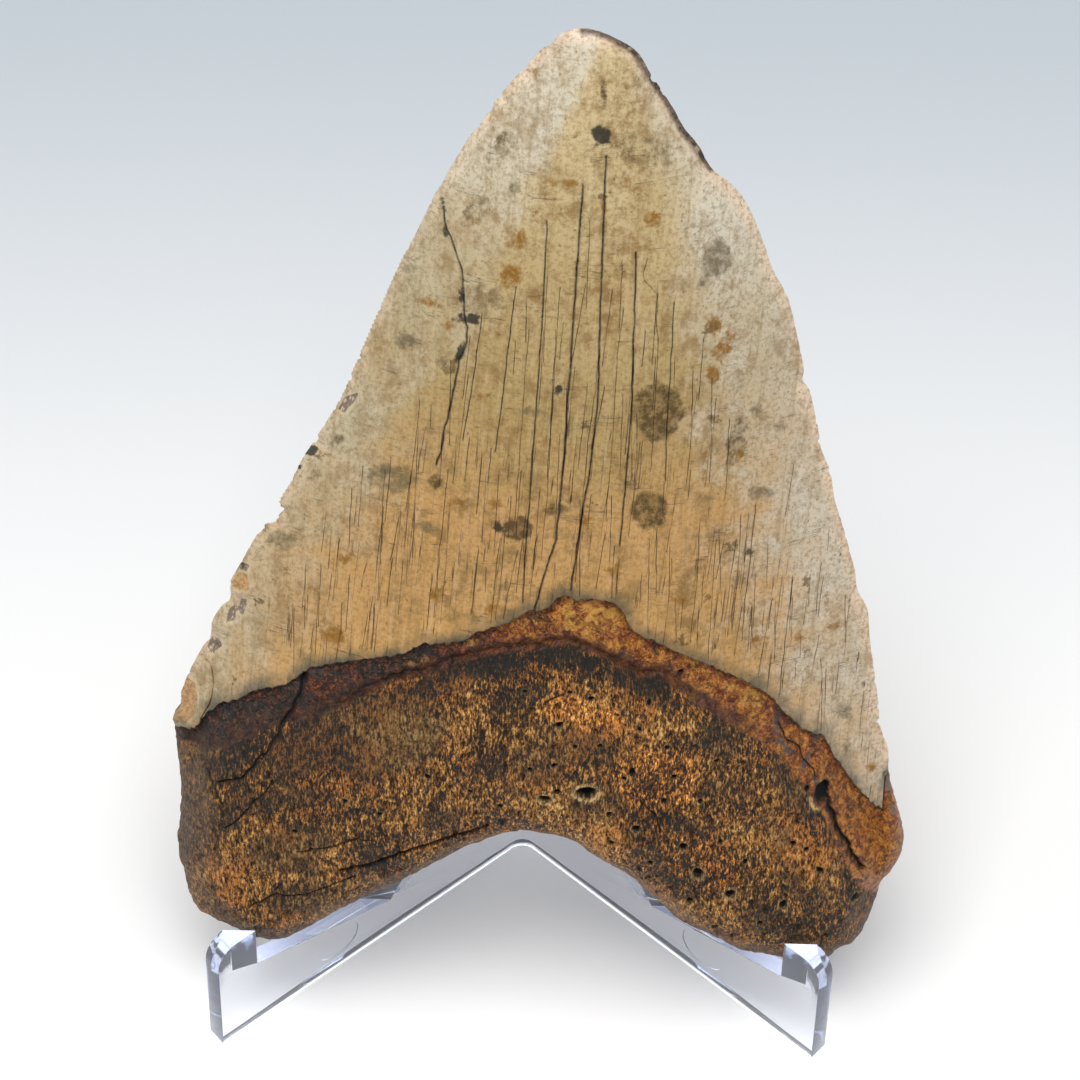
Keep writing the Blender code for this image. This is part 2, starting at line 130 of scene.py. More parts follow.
# Cracks of the crown as (half width mm, depth mm, points in pixels from top to bottom)
crownCracks = (
    (0.19, 0.34, ((606, 157), (604, 215), (601, 290), (598, 400), (590, 470), (580, 530), (571, 587))),
    (0.20, 0.32, ((583, 186), (579, 240), (575, 300), (570, 370), (568, 400), (563, 470), (556, 540), (535, 605))),
    (0.14, 0.24, ((547, 222), (543, 310), (537, 400), (533, 450), (530, 500), (526, 545), (523, 600))),
    (0.11, 0.18, ((516, 287), (508, 350), (503, 395), (499, 425), (495, 450))),
    (0.10, 0.18, ((482, 314), (476, 360), (470, 400), (463, 440))),
    (0.17, 0.28, ((636, 253), (634, 330), (632, 400), (627, 470), (620, 545))),
    (0.11, 0.20, ((674, 303), (670, 380), (666, 440), (665, 480))),
    (0.07, 0.15, ((693, 370), (692, 410), (691, 445))),
    (0.06, 0.14, ((712, 378), (711, 450))),
    (0.06, 0.14, ((729, 420), (727, 470), (725, 500))),
    (0.07, 0.16, ((600, 350), (594, 400), (588, 440), (583, 500), (575, 580))),
    (0.07, 0.16, ((755, 505), (750, 560), (745, 600), (742, 640))),
    (0.08, 0.18, ((793, 580), (787, 625), (782, 670), (780, 692))),
    (0.07, 0.14, ((821, 660), (822, 690), (821, 725))),
    (0.06, 0.14, ((656, 310), (658, 345), (655, 400), (651, 470))),
    (0.05, 0.12, ((622, 262), (620, 320), (616, 380), (612, 450), (606, 520))),
    (0.05, 0.12, ((560, 290), (556, 350), (551, 430), (548, 490), (541, 560))),
    (0.05, 0.12, ((529, 330), (524, 390), (520, 450), (515, 520))),
    (0.05, 0.12, ((647, 259), (642, 278), (658, 295), (657, 312))),
    (0.05, 0.12, ((448, 470), (441, 540), (436, 590))),
    (0.05, 0.12, ((420, 400), (415, 450), (406, 510))),
    (0.05, 0.12, ((700, 520), (697, 580), (690, 640))),
    (0.05, 0.12, ((716, 540), (712, 600), (708, 655))),
    (0.05, 0.12, ((672, 560), (668, 610), (663, 640))),
    (0.05, 0.12, ((385, 470), (381, 540), (378, 600))),
    (0.05, 0.12, ((500, 540), (494, 590), (491, 620))),
    (0.09, 0.30, ((202, 654), (212, 667), (214, 683), (211, 698), (198, 721))),
)
# The wandering olive crack on the left
oliveCrack = ((442, 198), (445, 219), (448, 232), (456, 250), (462, 268), (463, 290), (464, 305), (466, 320),
              (467, 341), (459, 362), (453, 395), (445, 430), (437, 465))

# Cracks and gaps of the root as (half width mm, depth mm, points)
rootCracks = (
    (0.30, 0.8, ((306, 676), (299, 699), (285, 724), (265, 754), (242, 777), (219, 782))),
    (0.16, 0.5, ((275, 779), (264, 792), (253, 802), (240, 815), (228, 827))),
    (0.35, 1.0, ((341, 869), (362, 865), (380, 859), (412, 848), (444, 837), (467, 830), (490, 823))),
    (0.42, 1.3, ((822, 797), (828, 806), (831, 814), (837, 834), (847, 847), (852, 860), (862, 872))),
    (0.14, 0.4, ((545, 700), (556, 695), (563, 693))),
    (0.16, 0.5, ((778, 728), (786, 742), (799, 751), (806, 768), (815, 781))),
    (0.18, 0.5, ((640, 800), (652, 812), (661, 830))),
    (0.16, 0.5, ((250, 905), (275, 893), (303, 893), (330, 884), (355, 875))),
    (0.14, 0.4, ((205, 765), (213, 781), (222, 800))),
    (0.16, 0.5, ((300, 850), (330, 846), (352, 838), (372, 838))),
)
# Holes as (pixel, radius across mm, radius up mm, depth mm)
rootHoles = (
    ((586, 792), 1.32, 0.86, 1.7), ((545, 798), 0.86, 0.56, 1.3), ((557, 791), 0.48, 0.42, 1.0),
    ((559, 724), 0.5, 0.5, 0.8), ((554, 764), 0.35, 0.35, 0.6), ((530, 768), 0.35, 0.35, 0.6),
    ((632, 771), 0.45, 0.7, 0.8), ((624, 777), 0.35, 0.35, 0.6), ((636, 827), 0.6, 0.5, 0.9),
    ((649, 702), 0.35, 0.5, 0.6), ((591, 697), 0.5, 0.35, 0.6), ((570, 691), 0.4, 0.3, 0.5),
    ((525, 690), 0.35, 0.3, 0.5), ((428, 776), 0.45, 0.4, 0.7),
    ((674, 775), 0.45, 0.4, 0.7), ((683, 845), 0.6, 0.6, 0.9), ((698, 872), 0.75, 0.7, 1.1),
    ((730, 893), 0.75, 0.65, 1.1), ((650, 861), 0.45, 0.45, 0.7), ((649, 876), 0.4, 0.4, 0.7),
    ((783, 904), 0.55, 0.6, 0.9), ((793, 842), 0.45, 0.45, 0.7), ((806, 848), 0.4, 0.4, 0.6),
    ((807, 793), 0.4, 0.4, 0.6), ((822, 798), 1.15, 1.3, 1.8), ((681, 676), 0.45, 0.35, 0.6),
    ((715, 925), 0.55, 0.5, 0.8), ((854, 899), 0.5, 0.45, 0.8), ((600, 745), 0.35, 0.3, 0.5),
    ((575, 745), 0.3, 0.3, 0.5), ((609, 812), 0.4, 0.35, 0.6), ((664, 800), 0.45, 0.4, 0.6),
    ((700, 800), 0.35, 0.35, 0.5), ((720, 840), 0.4, 0.4, 0.6), ((745, 860), 0.35, 0.4, 0.6),
    ((612, 842), 0.4, 0.35, 0.6), ((690, 900), 0.5, 0.4, 0.8), ((760, 921), 0.4, 0.35, 0.6),
    ((820, 870), 0.45, 0.5, 0.7), ((667, 745), 0.35, 0.3, 0.5), ((640, 729), 0.3, 0.3, 0.5),
    ((716, 760), 0.35, 0.35, 0.5), ((345, 800), 0.4, 0.3, 0.5), ((295, 830), 0.4, 0.3, 0.5),
    ((380, 812), 0.4, 0.3, 0.5), ((500, 805), 0.4, 0.3, 0.5), ((470, 790), 0.35, 0.3, 0.5),
)

# The fine upright cracks between the main ones: how many, and between which pixels
hairs = {"seed": 11, "count": 150, "left": 290.0, "right": 868.0}

# Stains as (kind, x, y, radius x, radius y, turn in degrees, strength), in pixels
stains = (
    ("dark", 600, 136, 10, 11, 0, 1.0), ("olive", 603, 93, 5, 17, 0, 1.0), ("slate", 716, 259, 17, 21, 0, 1.0),
    ("slate", 704, 282, 6, 6, 0, 0.8), ("olive", 658, 411, 26, 31, 0, 0.85), ("olive", 672, 411, 14, 17, 0, 0.9),
    ("olive", 650, 510, 20, 21, 0, 0.75), ("dark", 559, 391, 7, 6, 0, 0.8), ("olive", 437, 482, 8, 9, 0, 1.0),
    ("dark", 498, 527, 6, 8, 0, 1.0), ("olive", 517, 529, 18, 14, 0, 1.0), ("slate", 429, 526, 9, 7, 0, 0.8),
    ("olive", 749, 551, 7, 6, 0, 1.0), ("slate", 780, 426, 9, 6, 30, 1.0), ("dark", 467, 318, 14, 8, 0, 0.9),
    ("olive", 460, 502, 4, 4, 0, 0.9), ("olive", 339, 440, 8, 7, 0, 1.0), ("dark", 311, 450, 9, 6, 0, 1.0),
    ("dark", 300, 466, 5, 4, 0, 0.9), ("olive", 315, 475, 7, 4, 0, 0.9), ("slate", 532, 411, 11, 6, 10, 0.8),
    ("slate", 409, 268, 8, 7, 0, 0.7), ("slate", 404, 341, 14, 8, 0, 0.5), ("slate", 442, 362, 7, 6, 0, 0.9),
    ("slate", 392, 478, 26, 15, 0, 0.65), ("slate", 845, 711, 9, 9, 0, 0.7), ("slate", 847, 747, 4, 5, 0, 1.0),
    ("slate", 762, 493, 18, 7, 0, 0.7), ("slate", 757, 410, 9, 6, 60, 0.6), ("olive", 556, 510, 14, 6, 0, 0.5),
    ("ochre", 534, 72, 5, 4, 0, 0.9), ("ochre", 552, 183, 6, 5, 0, 0.9), ("ochre", 571, 185, 8, 3, 0, 0.8),
    ("ochre", 535, 212, 6, 4, 0, 0.9), ("ochre", 520, 235, 6, 9, 25, 1.0), ("ochre", 515, 244, 8, 5, 0, 0.9),
    ("ochre", 510, 276, 10, 14, 35, 0.7), ("ochre", 430, 302, 10, 6, 35, 1.0), ("ochre", 449, 324, 4, 6, 0, 0.9),
    ("ochre", 605, 208, 5, 9, 0, 1.0), ("ochre", 652, 218, 8, 9, 0, 0.6), ("ochre", 628, 184, 3, 6, 0, 0.8),
    ("ochre", 722, 350, 8, 12, 30, 1.0), ("ochre", 713, 375, 8, 9, 0, 1.0), ("ochre", 486, 396, 8, 3, 0, 0.9),
    ("ochre", 438, 595, 10, 8, 20, 0.9), ("ochre", 333, 635, 13, 9, 0, 1.0), ("ochre", 345, 558, 14, 5, 0, 0.9),
    ("ochre", 287, 569, 7, 3, 0, 0.9), ("ochre", 312, 588, 7, 3, 10, 0.7), ("ochre", 493, 608, 9, 5, 0, 0.8),
    ("ochre", 710, 455, 8, 4, 0, 0.8), ("ochre", 738, 458, 4, 12, 20, 0.7), ("ochre", 679, 599, 8, 5, 0, 1.0),
    ("ochre", 833, 626, 9, 4, 0, 1.0), ("ochre", 809, 645, 5, 4, 0, 0.9), ("ochre", 799, 637, 5, 4, 0, 0.8),
    ("ochre", 714, 325, 6, 10, 0, 0.8), ("ochre", 872, 766, 6, 7, 0, 1.0), ("ochre", 757, 640, 12, 6, 0, 0.8),
    ("ochre", 611, 570, 10, 5, 0, 0.6), ("ochre", 470, 645, 14, 4, 0, 0.6), ("ochre", 828, 600, 4, 10, 0, 0.5),
    ("ochre", 456, 503, 9, 4, 0, 0.6), ("ochre", 495, 503, 7, 5, 0, 0.6), ("ochre", 585, 520, 5, 9, 0, 0.5),
    ("ochre", 690, 700, 14, 9, 0, 0.7), ("ochre", 745, 700, 22, 10, 25, 0.9), ("ochre", 590, 622, 34, 16, 0, 0.8),
    ("ochre", 658, 778, 40, 30, 0, 0.8), ("ochre", 580, 712, 36, 14, 10, 0.2), ("ochre", 700, 862, 40, 22, 25, 0.2),
    ("ochre", 410, 668, 18, 6, -15, 0.6), ("ochre", 850, 800, 20, 10, 45, 0.1),
    ("dark", 243, 566, 4, 4, 0, 0.5), ("slate", 281, 540, 16, 9, 0, 0.5), ("olive", 455, 362, 4, 12, 15, 0.9),
    ("dark", 460, 352, 4, 12, 20, 0.8), ("dark", 445, 232, 4, 7, -15, 0.8), ("dark", 462, 295, 3, 9, 0, 0.6),
    ("olive", 300, 455, 7, 5, -60, 0.9), ("olive", 500, 140, 10, 6, -40, 0.35), ("slate", 512, 190, 10, 6, -20, 0.4),
    ("slate", 318, 676, 9, 9, 0, 0.5), ("slate", 777, 718, 4, 22, 5, 1.0), ("slate", 783, 745, 4, 18, -35, 0.9),
    ("slate", 816, 740, 5, 13, 10, 1.0), ("slate", 806, 764, 4, 14, 20, 0.9), ("slate", 815, 784, 4, 12, -25, 0.9),
    ("dark", 330, 735, 70, 26, -28, 0.6), ("dark", 290, 846, 42, 20, -15, 0.4), ("dark", 800, 780, 22, 38, -25, 0.2),
    ("dark", 385, 735, 62, 38, -15, 0.9), ("dark", 206, 781, 9, 7, 0, 0.9), ("dark", 297, 896, 28, 16, -15, 0.9),
    ("dark", 245, 800, 16, 12, 0, 0.5),
    ("dark", 436, 818, 13, 10, 0, 0.7), ("dark", 590, 748, 22, 14, 20, 0.3), ("dark", 716, 742, 20, 12, 20, 0.4),
    ("dark", 640, 680, 28, 10, 15, 0.8), ("dark", 857, 865, 18, 16, 0, 0.6),
    ("dark", 555, 655, 26, 8, 0, 0.8), ("dark", 845, 830, 16, 26, -30, 0.2), ("dark", 540, 762, 24, 20, 0, 0.1),
    ("slate", 502, 148, 20, 12, -40, 0.10), ("slate", 478, 208, 14, 10, -50, 0.05),
    ("slate", 640, 150, 36, 14, 10, 0.10), ("slate", 480, 300, 26, 16, 0, 0.10),
    ("olive", 738, 440, 10, 28, 15, 0.30), ("ochre", 727, 338, 5, 16, 25, 0.80),
    ("dark", 480, 668, 36, 8, -15, 0.6), ("dark", 400, 700, 36, 10, -15, 0.5),
)

# Flakes broken off the edges, as (kind, corners), in pixels
flakes = (
    ("facet", ((241, 599), (248, 600), (244, 616), (237, 613))),
    ("facet", ((228, 610), (236, 604), (236, 620), (226, 624))),
    ("facet", ((212, 635), (224, 645), (212, 655), (207, 647))),
    ("facet", ((344, 398), (360, 392), (354, 404), (343, 414), (338, 410))),
    ("facet", ((244, 563), (250, 566), (246, 573), (241, 571))),
    ("dentine", ((231, 583), (236, 574), (245, 573), (250, 582), (248, 592), (236, 590))),
    ("dentine", ((185, 676), (196, 684), (198, 700), (195, 714), (186, 724), (172, 722), (172, 706))),
    ("dentine", ((885, 792), (892, 796), (895, 806), (889, 806))),
    ("facet", ((882, 772), (889, 768), (892, 794), (885, 793))),
    ("facet", ((888, 806), (894, 804), (897, 814), (892, 818))),
)


def say(words):
    print("scene:", words, flush=True)


def smoothStep(value, start, end):
    x = np.clip((value - start) / (end - start), 0.0, 1.0)
    return x * x * (3.0 - 2.0 * x)


# Between the photograph's pixels and places on the tooth

def onTooth(pixels, lift=0.0):
    pixels = np.asarray(pixels, float)
    right = (pixels[:, 0] - view["middle"]) * view["pixelMm"]
    up = (view["middle"] - pixels[:, 1]) * view["pixelMm"]
    cosRoll, sinRoll = math.cos(view["roll"]), math.sin(view["roll"])
    across = (right * cosRoll - up * sinRoll) / view["distance"]
    rise = (right * sinRoll + up * cosRoll) / view["distance"]
    tilt = view["rise"] - pose["lean"]
    reach = (view["distance"] * math.cos(tilt) - lift) / (math.cos(tilt) + rise * math.sin(tilt))
    high = view["distance"] * math.sin(tilt) + reach * (rise * math.cos(tilt) - math.sin(tilt))
    return np.stack([reach * across, high], axis=1)


def pixelOf(places, lift):
    tilt = view["rise"] - pose["lean"]
    near = places[:, 1] * math.sin(tilt) + lift * math.cos(tilt)
    larger = view["distance"] / (view["distance"] - near)
    u = places[:, 0] * larger
    v = (places[:, 1] * math.cos(tilt) - lift * math.sin(tilt)) * larger
    cosRoll, sinRoll = math.cos(view["roll"]), math.sin(view["roll"])
    right, up = u * cosRoll + v * sinRoll, v * cosRoll - u * sinRoll
    x, y = view["middle"] + right / view["pixelMm"], view["middle"] - up / view["pixelMm"]
    return np.stack([x, y], axis=1)


def inWorld(places, lift):
    sine, cosine = math.sin(pose["lean"]), math.cos(pose["lean"])
    x = places[:, 0]
    y = places[:, 1] * sine - lift * cosine
    z = places[:, 1] * cosine + lift * sine
    return np.stack([x, y, z], axis=1) * mm + np.array(toothOrigin)


# Curves

def splineThrough(points, fine=16):
    before, after, later = (np.roll(points, shift, axis=0) for shift in (1, -1, -2))
    rows = []
    for t in np.arange(fine) / fine:
        rows.append(0.5 * (2 * points + (after - before) * t
                           + (2 * before - 5 * points + 4 * after - later) * t ** 2
                           + (3 * points - before - 3 * after + later) * t ** 3))
    return np.stack(rows, axis=1).reshape(-1, 2)


def evenly(points, step, closed=False):
    line = np.vstack([points, points[:1]]) if closed else np.asarray(points, float)
    pieces = np.linalg.norm(np.diff(line, axis=0), axis=1)
    steps = step(0.5 * (line[1:] + line[:-1])) if callable(step) else step
    along = np.concatenate([[0.0], np.cumsum(pieces / steps)])
    count = max(2, round(along[-1]))
    spots = np.arange(count) * along[-1] / count if closed else np.linspace(0.0, along[-1], count + 1)
    return np.stack([np.interp(spots, along, line[:, i]) for i in (0, 1)], axis=1)


def outwardNormals(points):
    run = np.roll(points, -1, axis=0) - np.roll(points, 1, axis=0)
    run /= np.maximum(np.linalg.norm(run, axis=1), 1e-9)[:, None]
    return np.stack([-run[:, 1], run[:, 0]], axis=1)


def smoothed(points, reach, step):
    spread = reach / step
    far = int(3 * spread) + 1
    offsets = np.arange(-far, far + 1)
    weights = np.exp(-0.5 * (offsets / spread) ** 2)
    weights /= weights.sum()
    return sum(w * np.roll(points, o, axis=0) for w, o in zip(weights, offsets))


# A polyline that gives the distance from many places to it
class Line:
    def __init__(self, points, closed=False):
        self.points = np.asarray(points, float)
        self.closed = closed
        self.tree = kdtree.KDTree(len(self.points))
        for i, p in enumerate(self.points):
            self.tree.insert((p[0], p[1], 0.0), i)
        self.tree.balance()

    def distance(self, places):
        nearest = np.array([self.tree.find((p[0], p[1], 0.0))[1] for p in places])
        best = np.full(len(places), np.inf)
        count = len(self.points)
        for shift in (-1, 0):
            first = nearest + shift
            second = first + 1
            if self.closed:
                first, second = first % count, second % count
            else:
                first, second = np.clip(first, 0, count - 1), np.clip(second, 0, count - 1)
            start, run = self.points[first], self.points[second] - self.points[first]
            size = np.maximum((run ** 2).sum(1), 1e-12)
            t = np.clip(((places - start) * run).sum(1) / size, 0.0, 1.0)
            best = np.minimum(best, np.linalg.norm(places - start - t[:, None] * run, axis=1))
        return best

    # Signed distance from a line that runs from left to right
    def above(self, places):
        higher = places[:, 1] - np.interp(places[:, 0], self.points[:, 0], self.points[:, 1])
        return self.distance(places) * np.sign(higher)


# Even-odd test, a slab of places at a time
def isInside(places, border):
    after = np.roll(border, -1, axis=0)
    climb = after[:, 1] - border[:, 1]
    slope = (after[:, 0] - border[:, 0]) / np.where(climb == 0.0, 1.0, climb)
    inside = np.zeros(len(places), bool)
    for start in range(0, len(places), 4000):
        part = places[start:start + 4000]
        crosses = (border[None, :, 1] > part[:, None, 1]) != (after[None, :, 1] > part[:, None, 1])
        meets = border[None, :, 0] + slope * (part[:, None, 1] - border[None, :, 1])
        inside[start:start + 4000] = (crosses & (part[:, None, 0] < meets)).sum(1) % 2 == 1
    return inside


# Uneven values about 0, mostly within 1, with features of this size in mm
def rough(places, size, seed, octaves=3):
    return np.array([noise.fractal((x / size, y / size, seed), 0.7, 2.1, octaves) for x, y in places])


# Heights of the two faces

def rootBoss(across):
    return form["bossFront"] * np.exp(-(((across - form["bossMiddle"]) / form["bossReach"]) ** 2))


def crownHeight(up, inset, full):
    half = 1.68 * np.maximum(form["tipRise"] - up, 0.05) ** 0.72
    x = np.minimum(inset / half, 1.0)
    return full * (1.0 - np.exp(-half / form["crownFullness"])) * (1.0 - (1.0 - x) ** 2)


def roundHeight(inset, rounding):
    x = np.clip(inset / rounding, 0.0, 1.0)
    return np.sqrt(1.0 - (1.0 - x) ** 2)


def insetOf(places):
    near, calm = outlineLine.distance(places), calmLine.distance(places)
    inland = smoothStep(near, 0.0, form["chipReach"])
    return near * (1.0 - inland) + calm * inland


def lumps(places):
    x, y = (places / form["lumpLength"] * 2.0 * math.pi).T
    waves = np.sin(x + 0.7 * y) + np.sin(1.7 * y - 0.6 * x + 1.0) + np.sin(0.45 * x - 1.1 * y + 2.0)
    return form["lumpHeight"] * waves


def onFront(pixels):
    lift = np.zeros(len(pixels))
    for _ in range(8):
        places = onTooth(pixels, lift)
        lift = crownHeight(places[:, 1], insetOf(places), form["crownFront"])
    return places


# The smooth front: crown, bourlette and root without their small relief
def baseFront(places, inset):
    enamel = places[:, 1] - np.interp(places[:, 0], enamelLine.points[:, 0], enamelLine.points[:, 1])
    crown = crownHeight(places[:, 1], inset, form["crownFront"])
    root = (form["lobeFront"] + rootBoss(places[:, 0])) * roundHeight(inset, form["roundFront"])
    root += lumps(places) * np.clip(inset / 3.0, 0.0, 1.0)
    rootward = 1.0 - smoothStep(enamel, -12.0, 6.0)
    return crown * (1.0 - rootward) + root * rootward


# Places on the front of the root seen at these pixels
def onRoot(pixels):
    lift = np.full(len(pixels), 10.0)
    for _ in range(12):
        places = onTooth(pixels, lift)
        found = baseFront(places, insetOf(places))
        lift = 0.5 * lift + 0.5 * found
    return places


# Depth of the deepest crack at each place, and how dark it is there
def crackDepths(places, cracks):
    depth, dark = np.zeros(len(places)), np.zeros(len(places))
    for halfWidth, deep, line in cracks:
        low, high = line.points.min(0) - 1.5, line.points.max(0) + 1.5
        near = ((places > low) & (places < high)).all(1)
        if not near.any():
            continue
        away = line.distance(places[near])
        shape = 1.0 - smoothStep(away, 0.0, halfWidth * 1.15)
        depth[near] = np.maximum(depth[near], deep * shape)
        dark[near] = np.maximum(dark[near], 1.0 - smoothStep(away, halfWidth * 0.4, halfWidth * 1.3))
    return depth, dark


# Depth of the deepest hole at each place, how dark it is there, and how pale its rim is
def holeDepths(places, holes):
    depth, dark, pale = np.zeros(len(places)), np.zeros(len(places)), np.zeros(len(places))
    for spot, acrossRadius, upRadius, deep in holes:
        near = (np.abs(places - spot) < 3.0).all(1)
        if not near.any():
            continue
        gap = (places[near] - spot) / (acrossRadius * holeOpening[0], upRadius * holeOpening[1])
        away = np.linalg.norm(gap, axis=1)
        depth[near] = np.maximum(depth[near], deep * (1.0 - smoothStep(away, 0.55, 1.05)))
        dark[near] = np.maximum(dark[near], 1.0 - smoothStep(away, 0.8, 1.15))
        rim = smoothStep(away, 0.98, 1.15) * (1.0 - smoothStep(away, 1.15, 1.6))
        pale[near] = np.maximum(pale[near], rim * (0.25 + 0.75 * float(smoothStep(acrossRadius, 0.4, 1.0))))
    return depth, dark, pale


# How many mm inside a stain of each kind each pixel lies, below 0 outside
def stainFields(pixels):
    kinds = ("olive", "ochre", "slate", "dark", "facet", "dentine")
    fields = {kind: np.full(len(pixels), -2.0) for kind in kinds}
    warped = pixels + 3.4 * np.stack((rough(pixels, 11.0, 5.3), rough(pixels, 11.0, 8.7)), 1)
    for kind, x, y, radiusX, radiusY, turn, strength in stains:
        turn = math.radians(turn)
        gap = warped - (x, y)
        along = gap[:, 0] * math.cos(turn) + gap[:, 1] * math.sin(turn)
        beside = gap[:, 1] * math.cos(turn) - gap[:, 0] * math.sin(turn)
        share = 1.0 - np.hypot(along / radiusX, beside / radiusY)
        inside = share * math.sqrt(radiusX * radiusY) * view["pixelMm"]
        fields[kind] = np.maximum(fields[kind], np.clip(inside, -2.0, 0.9 * strength))
    for kind, corners in flakes:
        border = evenly(np.array(corners, float), 2.0, closed=True)
        near = (np.abs(pixels - border.mean(0)) < 40.0).all(1)
        if not near.any():
            continue
        gap = Line(border, closed=True).distance(pixels[near]) * view["pixelMm"]
        inside = np.where(isInside(pixels[near], border), gap, -gap)
        fields[kind][near] = np.maximum(fields[kind][near], np.clip(inside, -2.0, 0.9))
    return fields


# The whole front and what painting needs to know of it
def frontHeight(places, inset):
    inland = np.clip(inset / 2.0, 0.0, 1.0)
    enamel, rim = enamelLine.above(places), rimLine.above(places)
    height = baseFront(places, inset)
    onEnamel = smoothStep(enamel, -0.10, 0.14)
    height -= form["enamelStep"] * (1.0 - onEnamel) * inland
    height += 0.12 * np.exp(-(((enamel - 1.3) / 1.2) ** 2)) * inland
    lipRise = form["rootLip"] * (1.0 - smoothStep(rim, -form["rootLipWidth"], 0.0))
    height += lipRise * inland

    # The bourlette is pitted, and the root's rim overhangs a dark gap along its middle part
    bourlette = (1.0 - onEnamel) * smoothStep(rim, -0.6, 0.2)
    height += bourlette * inland * (0.16 * rough(places, 1.6, 3.1) - 0.12)
    gapShare = smoothStep(places[:, 0], -34.0, -22.0) * (1.0 - smoothStep(places[:, 0], 18.0, 24.0))
    height -= 0.75 * gapShare * np.exp(-((rim - 0.35) / 0.42) ** 2) * inland
    height += 0.35 * gapShare * np.exp(-((rim + 0.9) / 0.6) ** 2) * inland

    # The root is spongy: broad unevenness, short upright fibres and many pores
    onRootShare = (1.0 - smoothStep(rim, -0.7, 0.1)) * (1.0 - onEnamel)
    fibres = rough(places * (1.0, 0.42), 0.85, 7.7, 2)
    broad = rough(places, 5.5, 1.3, 3)
    pores = rough(places * (1.0, 0.6), 1.15, 12.9, 2)
    poreShape = smoothStep(pores, 0.28, 0.62)
    height += onRootShare * inland * (0.17 * fibres + 0.30 * broad - 0.42 * poreShape)

    fields = stainFields(pixelOf(places, baseFront(places, inset)))
    height -= 0.45 * smoothStep(fields["facet"], -0.15, 0.25) * np.clip(inset / 0.8, 0.0, 1.0)
    height -= 0.30 * smoothStep(fields["dentine"], -0.15, 0.15) * np.clip(inset / 0.8, 0.0, 1.0)
    crownDepth, crownDark = crackDepths(places, [c for c in crownCrackLines if c[0] >= 0.1])
    hairDepth, hairDark = crackDepths(places, hairLines)
    thinDepth, thinDark = crackDepths(places, [c for c in crownCrackLines if c[0] < 0.1])
    hairDepth, hairDark = np.maximum(hairDepth, thinDepth), np.maximum(hairDark, thinDark)
    rootDepth, rootDark = crackDepths(places, rootCrackLines)
    holeDepth, holeDark, holePale = holeDepths(places, holePlaces)
    tipRight = chipLine.distance(places)
    brokenTip = 1.0 - smoothStep(tipRight, 0.28, 0.68)
    height -= brokenTip * 0.35 * np.clip(inset / 0.5, 0.0, 1.0)
    deepest = np.maximum(rootDepth, holeDepth)
    height -= (np.maximum(crownDepth, hairDepth) * onEnamel + deepest) * np.clip(inset / 1.5, 0.0, 1.0)
    height += onEnamel * inland * 0.035 * rough(places, 2.2, 5.5, 3)
    marks = {
        "enamelMm": enamel, "rimMm": rim,
        "crack": np.maximum(crownDark * onEnamel, np.maximum(rootDark, holeDark)),
        "hair": hairDark * onEnamel,
        "pale": holePale,
        "pore": onRootShare * poreShape,
        "broken": brokenTip,
        "insetMm": inset,
    }
    marks.update(fields)
    return np.maximum(height, 0.06 * np.minimum(inset, 1.0)), marks


def backHeight(places, inset):
    crown = crownHeight(places[:, 1], inset, form["crownBack"])
    root = form["rootBack"] * roundHeight(inset, form["roundBack"])
    rootward = 1.0 - smoothStep(places[:, 1] + 0.07 * places[:, 0], -34.0, -14.0)
    height = crown * (1.0 - rootward) + root * rootward
    inland = np.clip(inset / 2.0, 0.0, 1.0)
    enamel = backEnamelLine.above(places)
    onEnamel = smoothStep(enamel, -0.25, 0.25)
    pores = rough(places * (1.0, 0.6), 1.5, 31.0, 2)
    poreShape = smoothStep(pores, 0.28, 0.62)
    relief = 0.14 * rough(places, 2.0, 8.8) + 0.30 * rough(places, 6.0, 2.8) - 0.55 - 0.35 * poreShape
    height += (1.0 - onEnamel) * inland * relief
    marks = {
        "enamelMm": enamel, "rimMm": enamel + 1.2,
        "crack": np.zeros(len(places)),
        "hair": np.zeros(len(places)),
        "pale": np.zeros(len(places)),
        "pore": (1.0 - onEnamel) * poreShape,
        "broken": 1.0 - smoothStep(chipLine.distance(places), 0.28, 0.68),
        "insetMm": inset,
    }
    marks.update(stainFields(np.full((len(places), 2), -4000.0)))
    return height, marks


# The tooth's outline and its lines

def makeOutline():
    pixels = onTooth(rightEdge + lowerEdge + leftEdge)
    curve = evenly(splineThrough(pixels), 0.3, closed=True)
    down = np.maximum(-outwardNormals(smoothed(curve, 4.0, 0.3))[:, 1], 0.0)
    front = form["lobeFront"] + rootBoss(curve[:, 0])
    low = smoothStep(-curve[:, 1], 24.0, 38.0)
    tilt = view["rise"] - pose["lean"]
    hidden = np.hypot(form["roundFront"], front * math.tan(tilt)) - form["roundFront"]
    curve[:, 1] += hidden * low * down ** 2

    def stepAt(middles):
        serrated = (middles[:, 0] < 0) & (middles[:, 1] > -8.0) & (middles[:, 1] < 52.0)
        return np.where(serrated, fineness["serratedRim"], fineness["rim"])

    return evenly(curve, stepAt, closed=True)


